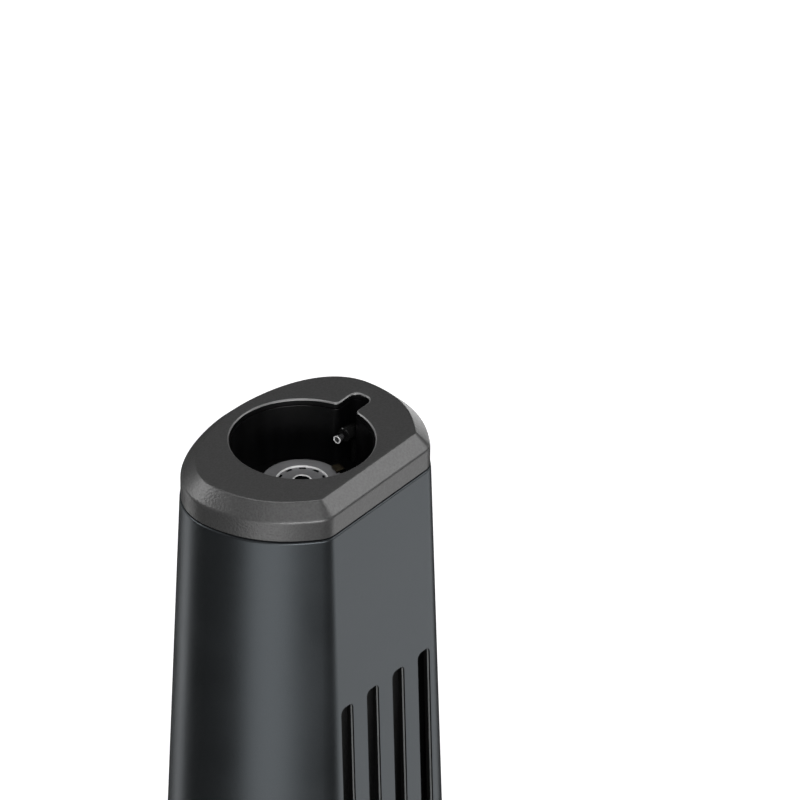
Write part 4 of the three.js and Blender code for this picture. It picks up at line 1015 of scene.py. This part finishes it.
def build_hose():
    low, high = node_range("gas_hose")
    start = Vector(((low.x + 1.8), -3.2, low.z))
    end = Vector((0, AXIS_Y, high.z))
    handles = (Vector((start.x, start.y, 101)), Vector((0, AXIS_Y, 99)))
    path = [bezier((start, *handles, end), i / 48)[0] for i in range(49)]
    return smooth(sweep("gas_hose_tube", path, 1.78, 28, 1.27), 60)


def paint_slot_shade_and_highlight(shell):
    """The cut walls of the slots take the second material, which paints shade and a highlight line on them.
    """
    for face in shell.data.polygons:
        middle = face.center / MM
        on_flat = middle.y <= -FLAT_DEPTH and abs(face.normal.y) <= 0.7
        if not on_flat or not SLOT_BOTTOM - 0.1 < middle.z < SLOT_TOP + 0.1:
            continue
        if min(abs(middle.x - x) for x in SLOT_MIDDLES) < SLOT_HALF + 0.05:
            face.material_index = 1


# ---- materials ----
# Each material under the name of its look. Blender's own name may differ where the frame has that name too.
MATERIALS = {}


class Nodes:
    """A short way to write a material's node tree, which files the material in MATERIALS."""

    def __init__(self, name):
        material = bpy.data.materials.new(name)
        material.use_nodes = True
        MATERIALS[name] = material
        self.tree = material.node_tree
        self.shader = self.tree.nodes["Principled BSDF"]
        self.coordinates = self.add("ShaderNodeTexCoord").outputs["Object"]

    def add(self, kind, **settings):
        node = self.tree.nodes.new(kind)
        for key, value in settings.items():
            setattr(node, key, value)
        return node

    def join(self, output, socket):
        self.tree.links.new(output, socket)

    def noise(self, size_mm, detail=3, stretch=(1, 1, 1)):
        mapping = self.add("ShaderNodeMapping")
        mapping.inputs["Scale"].default_value = [value / (size_mm * MM) for value in stretch]
        texture = self.add("ShaderNodeTexNoise")
        texture.inputs["Scale"].default_value = 1
        texture.inputs["Detail"].default_value = detail
        self.join(self.coordinates, mapping.inputs["Vector"])
        self.join(mapping.outputs["Vector"], texture.inputs["Vector"])
        return texture.outputs["Fac"]

    def cells(self, size_mm):
        texture = self.add("ShaderNodeTexVoronoi", feature="SMOOTH_F1")
        texture.inputs["Scale"].default_value = 1 / (size_mm * MM)
        texture.inputs["Smoothness"].default_value = 0.6
        self.join(self.coordinates, texture.inputs["Vector"])
        return texture.outputs["Distance"]

    def axis(self, name):
        split = self.add("ShaderNodeSeparateXYZ")
        self.join(self.coordinates, split.inputs["Vector"])
        return split.outputs[name]

    def ranged(self, value, low, high, start=0.3, end=0.7):
        node = self.add("ShaderNodeMapRange")
        node.inputs["From Min"].default_value = start
        node.inputs["From Max"].default_value = end
        node.inputs["To Min"].default_value = low
        node.inputs["To Max"].default_value = high
        self.join(value, node.inputs["Value"])
        return node.outputs["Result"]

    def math(self, operation, a, b):
        node = self.add("ShaderNodeMath", operation=operation)
        for socket, value in zip(node.inputs, (a, b)):
            if isinstance(value, (int, float)):
                socket.default_value = value
            else:
                self.join(value, socket)
        return node.outputs["Value"]

    def colour(self, factor, dark, light):
        node = self.add("ShaderNodeMix", data_type="RGBA")
        node.inputs["A"].default_value = (*dark, 1)
        node.inputs["B"].default_value = (*light, 1)
        self.join(factor, node.inputs["Factor"])
        self.join(node.outputs["Result"], self.shader.inputs["Base Color"])

    def roughness(self, value):
        self.join(value, self.shader.inputs["Roughness"])

    def bump(self, height, depth_mm, strength=1.0):
        node = self.add("ShaderNodeBump")
        node.inputs["Strength"].default_value = strength
        node.inputs["Distance"].default_value = depth_mm * MM
        self.join(height, node.inputs["Height"])
        self.join(node.outputs["Normal"], self.shader.inputs["Normal"])

    def metallic(self, value):
        self.shader.inputs["Metallic"].default_value = value


def scaled(colour, factor):
    return tuple(channel * factor for channel in colour)


def gunmetal():
    """Satin dark grey paint with a very fine metallic grain."""
    nodes = Nodes("gunmetal_body")
    base = (0.094, 0.104, 0.112)
    grain = nodes.noise(0.12, 2)
    cloud = nodes.noise(9, 3)
    blend = nodes.math("ADD", nodes.math("MULTIPLY", grain, 0.5), nodes.math("MULTIPLY", cloud, 0.5))
    nodes.colour(nodes.ranged(blend, 0, 1, 0.35, 0.65), scaled(base, 0.93), scaled(base, 1.07))
    nodes.roughness(nodes.ranged(blend, 0.36, 0.42))
    nodes.bump(grain, 0.004, 0.5)
    nodes.metallic(0.9)


def textured_cap():
    """Satin dark grey with a fine leather-like grain that is shallower on the flat side."""
    nodes = Nodes("textured_cap")
    base = (0.143, 0.143, 0.143)
    cells = nodes.cells(0.28)
    fine = nodes.noise(0.14, 2)
    grain = nodes.math("ADD", cells, nodes.math("MULTIPLY", fine, 0.5))
    nodes.colour(nodes.ranged(grain, 0, 1, 0.4, 1.0), scaled(base, 0.9), scaled(base, 1.08))
    nodes.roughness(nodes.ranged(fine, 0.36, 0.42))
    fade = nodes.ranged(nodes.axis("Y"), 0.3, 1, -10.8 * MM, -9.4 * MM)
    nodes.bump(nodes.math("MULTIPLY", grain, fade), 0.032, 0.8)
    nodes.metallic(0.6)


def grained(name, base, shades, rough, grain, depth, strength=0.5, metallic=0.0):
    """One noise that sets the shade, the roughness and a slight bump."""
    nodes = Nodes(name)
    fine = nodes.noise(*grain)
    nodes.colour(nodes.ranged(fine, 0, 1), *[scaled(base, shade) for shade in shades])
    nodes.roughness(nodes.ranged(fine, *rough))
    nodes.bump(fine, depth, strength)
    nodes.metallic(metallic)


def slot_wall_painted_shade_and_highlight():
    """Black painted shade inside, with a light band a little way in from the flat side that paints the
    highlight on the sleeve's edge.
    """
    nodes = Nodes("slot_wall_painted_shade_and_highlight")
    flat_y = FLAT_DEPTH + body_offset(0)
    slope = nodes.math("MULTIPLY", nodes.axis("Z"), -TAPER)
    depth = nodes.math("ADD", nodes.math("ADD", nodes.axis("Y"), slope), flat_y * MM)
    # The band from 0.2 to 0.46 mm deep is a painted highlight; the rest of the wall stays black as painted
    # shade.
    enter = nodes.ranged(depth, 0, 1, 0.2 * MM, 0.24 * MM)
    leave = nodes.ranged(depth, 1, 0, 0.4 * MM, 0.46 * MM)
    painted_highlight_band = nodes.math("MULTIPLY", enter, leave)
    nodes.colour(painted_highlight_band, (0.002, 0.002, 0.002), (0.26, 0.27, 0.27))
    grain = nodes.noise(0.12, 2)
    nodes.roughness(nodes.ranged(grain, 0.4, 0.5))
    nodes.bump(grain, 0.003, 0.5)


def worked_metal(name, base, rough, grain_mm, depth=0.005, metallic=1.0):
    """Metal with fine machining marks and slight stain."""
    nodes = Nodes(name)
    marks = nodes.noise(grain_mm)
    stain = nodes.noise(2.5)
    nodes.colour(nodes.ranged(stain, 0, 1), scaled(base, 0.8), base)
    nodes.roughness(nodes.math("ADD", nodes.ranged(marks, -0.05, 0.06), rough))
    nodes.bump(marks, depth, 0.5)
    nodes.metallic(metallic)


def moulded(name, base, rough, grain_mm, depth):
    """Moulded plastic or rubber with a fine spark texture."""
    nodes = Nodes(name)
    grain = nodes.noise(grain_mm)
    cloud = nodes.noise(6, 2)
    nodes.colour(nodes.ranged(cloud, 0, 1), scaled(base, 0.88), scaled(base, 1.15))
    nodes.roughness(nodes.math("ADD", nodes.ranged(grain, -0.04, 0.05), rough))
    nodes.bump(grain, depth, 0.6)


gunmetal()
textured_cap()
# A lighter copy of the cap's grey: a painted highlight along the bore's lip.
grained("cap_lip_painted_highlight", (0.3, 0.3, 0.3), (0.9, 1.08), (0.34, 0.42), (0.14, 2), 0.004, metallic=0.4)
grained(
    "black_liner", (0.002, 0.002, 0.0022), (0.8, 1.3), (0.3, 0.42), (1.2, 3, (1, 1, 0.12)), 0.006, 0.4)
slot_wall_painted_shade_and_highlight()
worked_metal("burner_steel", (0.3, 0.3, 0.31), 0.42, 0.1, metallic=0.35)
worked_metal("steel", (0.52, 0.53, 0.54), 0.32, 0.12)
worked_metal("screw_steel", (0.2, 0.2, 0.21), 0.36, 0.1)
worked_metal("electrode_metal", (0.16, 0.16, 0.165), 0.25, 0.1, 0.001, 0.7)
moulded("insulator", (0.006, 0.006, 0.006), 0.18, 0.4, 0.001)
# Plain white and not metal: a painted highlight for the burner's raised rings and the electrode's cup rim.
worked_metal("ring_painted_highlight", (1, 1, 1), 0.24, 0.1, 0.001, 0.0)
worked_metal("tab_metal", (0.085, 0.07, 0.045), 0.4, 0.1)
worked_metal("brass", (0.6, 0.42, 0.17), 0.28, 0.12)
moulded("lead_sheath", (0.22, 0.015, 0.012), 0.4, 0.3, 0.005)
moulded("smoked_tank", (0.01, 0.011, 0.013), 0.2, 0.4, 0.002)
moulded("black_plastic", (0.003, 0.003, 0.0032), 0.62, 0.2, 0.01)
moulded("trigger_plastic", (0.02, 0.0205, 0.021), 0.42, 0.2, 0.012)
moulded("rubber", (0.009, 0.009, 0.009), 0.75, 0.25, 0.02)


def finish_piece(piece, body, slot, *nodes):
    """Gives a new piece its slot's material when it has none, puts it on its body, and hides the CAD nodes
    that it stands for.
    """
    if not piece.data.materials:
        give_materials(piece, slot)
    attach(piece, body)
    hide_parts(*nodes)
    return piece


def dress_cad_nodes():
    """CAD nodes that stay visible get the material of their slot."""
    for entry in frame["record"]["subparts"]:
        piece = frame["nodes"][entry["node"]]
        piece.data.materials.clear()
        give_materials(piece, entry["material_slot"])


# ---- camera, lights and floor ----
def add_camera():
    sine, cosine = math.sin(CAMERA_AZIMUTH), math.cos(CAMERA_AZIMUTH)
    rise, run = math.sin(CAMERA_ELEVATION), math.cos(CAMERA_ELEVATION)
    right = Vector((cosine, sine, 0))
    back = Vector((sine * run, -cosine * run, rise))
    up = back.cross(right)
    aim = Vector((0, AXIS_Y, HEIGHT)) + right * BORE_LEFT + up * BORE_BELOW
    camera = link("camera", bpy.data.cameras.new("camera"))
    camera.data.sensor_width = SENSOR
    camera.data.lens = SENSOR * CAMERA_DISTANCE / VIEW_WIDTH
    camera.data.clip_end = 20
    camera.location = (aim + back * CAMERA_DISTANCE) * MM
    camera.rotation_euler = (back.to_track_quat("Z", "Y") @ Quaternion((0, 0, 1), CAMERA_ROLL)).to_euler()
    bpy.context.scene.camera = camera


def add_light(name, angle, elevation, size, power, diffuse=True, glossy=True):
    """A soft box that looks at the torch's upper half, at a plan angle in degrees from +X."""
    a, e = math.radians(angle), math.radians(elevation)
    target = Vector((0, 0, 0.7 * HEIGHT))
    back = Vector((math.cos(a) * math.cos(e), math.sin(a) * math.cos(e), math.sin(e)))
    light = link(name, bpy.data.lights.new(name, "AREA"))
    light.data.shape = "RECTANGLE"
    light.data.size, light.data.size_y = (value * MM for value in size)
    light.data.energy = power
    light.visible_diffuse = diffuse
    light.visible_glossy = glossy
    light.location = (target + back * LIGHT_DISTANCE) * MM
    light.rotation_euler = back.to_track_quat("Z", "Y").to_euler()


def add_stage():
    """A pale floor that stays out of the torch's own light, and a white backdrop that lights it faintly."""
    mesh = bpy.data.meshes.new("floor")
    reach = 6
    corners = [(-reach, -reach, 0), (reach, -reach, 0), (reach, reach, 0), (-reach, reach, 0)]
    mesh.from_pydata(corners, [], [(0, 1, 2, 3)])
    floor = link("floor", mesh)
    material = bpy.data.materials.new("floor")
    material.use_nodes = True
    shader = material.node_tree.nodes["Principled BSDF"]
    for socket, value in (
        ("Base Color", (0.5, 0.5, 0.5, 1)), ("Roughness", 0.9), ("Emission Color", (1, 1, 1, 1)),
        ("Emission Strength", 0.94),
    ):
        shader.inputs[socket].default_value = value
    floor.data.materials.append(material)
    floor.visible_glossy = False
    floor.visible_diffuse = False
    floor.visible_shadow = False
    world = bpy.data.worlds.new("studio")
    bpy.context.scene.world = world
    world.use_nodes = True
    tree = world.node_tree
    background = tree.nodes["Background"]
    path = tree.nodes.new("ShaderNodeLightPath")
    strength = tree.nodes.new("ShaderNodeMapRange")
    strength.inputs["To Min"].default_value = AMBIENT
    strength.inputs["To Max"].default_value = 1
    tree.links.new(path.outputs["Is Camera Ray"], strength.inputs["Value"])
    tree.links.new(strength.outputs["Result"], background.inputs["Strength"])
    background.inputs["Color"].default_value = (1, 1, 1, 1)
    bpy.context.scene.view_settings.view_transform = "Standard"


# Name, plan angle, elevation, size, watts, and whether it shows in diffuse light and in reflections.
LIGHTS = (
    ("side", 203, -25, (620, 500), 1.52),
    ("edge", 97, -20, (300, 500), 0.75),
    ("front", 323, -28, (520, 500), 1.08),
    ("key", 225, 42, (500, 500), 6.5, True, False),
    ("chamfer_right", 321, 29, (420, 420), 1.6, False),
    ("chamfer_left", 114, 32, (440, 400), 1.8, False),
    ("hood", 222, 56, (900, 300), 0.45, False),
    ("overhead", 37, 78, (450, 400), 1.6, False),
    ("line", 234, 10, (760, 260), 3.8, False),
    ("back", 74, 12, (500, 500), 4, True, False),
    ("rim", 18, -10, (650, 300), 1.4, False),
)
# Carried-over CAD nodes and the width of their rounded edges.
SQUARE_NODES = {
    "jet_nut": 0.25, "valve_block": 0.3, "chassis": 0.25, "piezo_body": 0.25, "piezo_plunger": 0.3,
    "gas_lever": 0.15, "lever_pin": 0.15, "fuel_tank": 0.3, "tank_lid": 0.3, "tank_gasket": 0.1,
}
# Each pair of screws has a head radius, a shank radius, and its head down or up.
SCREW_HEAD = 1.1
SCREWS = {
    "base_screw": (2, 0.95, True), "valve_screw": (1.7, 0.75, False), "chassis_screw": (1.25, 0.75, False),
}


def build():
    dress_cad_nodes()
    for node, width in SQUARE_NODES.items():
        soften_cad(node, width)
    for make, slot, node in (
        (build_shell, "gunmetal_body", "body_shell"),
        (build_cap, "textured_cap", "top_cap"),
        (build_liner, "black_liner", "bore_liner"),
        (build_flame_disc, "burner_steel", "flame_disc"),
        (build_flange, "burner_steel", "burner_flange"),
        (build_burner_tube, "burner_steel", "burner_tube"),
        (build_base_cap, "textured_cap", "base_cap"),
        (build_base_plate, "black_plastic", "base_plate"),
        (build_foot_ring, "rubber", "foot_ring"),
        (build_insulator, "insulator", "electrode_insulator"),
        (build_tip, "electrode_metal", "electrode_tip"),
        (build_ground_tab, "brass", "ground_tab"),
        (build_lead, "lead_sheath", "ignition_lead"),
        (build_hose, "rubber", "gas_hose"),
    ):
        finish_piece(make(), "housing", slot, node)
    for piece in build_trigger():
        finish_piece(piece, "trigger", "trigger_plastic", "trigger_button")
    for piece in build_lock():
        finish_piece(piece, "lock", "trigger_plastic", "lock_slider")
    finish_piece(build_knob(), "adjuster", "black_plastic", "adjust_knob")
    for node, (slot, body, radius, profile) in TURNED.items():
        finish_piece(lathe_node(node, profile, radius), body, slot, node)
    for kind, size in SCREWS.items():
        for node in (kind + "_1", kind + "_2"):
            finish_piece(build_screw(node, SCREW_HEAD, *size), "housing", "screw_steel", node)
    springs = (
        ("trigger_spring", 3.5, 0.3, "trigger_press", (0, 1, 0), 0.386),
        ("valve_spring", 4.5, 0.25, "stem_lift", (0, 0, 1), 0.79),
        ("refill_spring", 5.5, 0.25, "refill_press", (0, 0, 1), 0.79),
    )
    for node, turns, wire, joint, axis, keep in springs:
        spring = finish_piece(build_spring(node, turns, wire, axis[1] == 1), "housing", "steel", node)
        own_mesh(spring)


add_camera()
add_stage()
for light in LIGHTS:
    add_light(*light)
build()
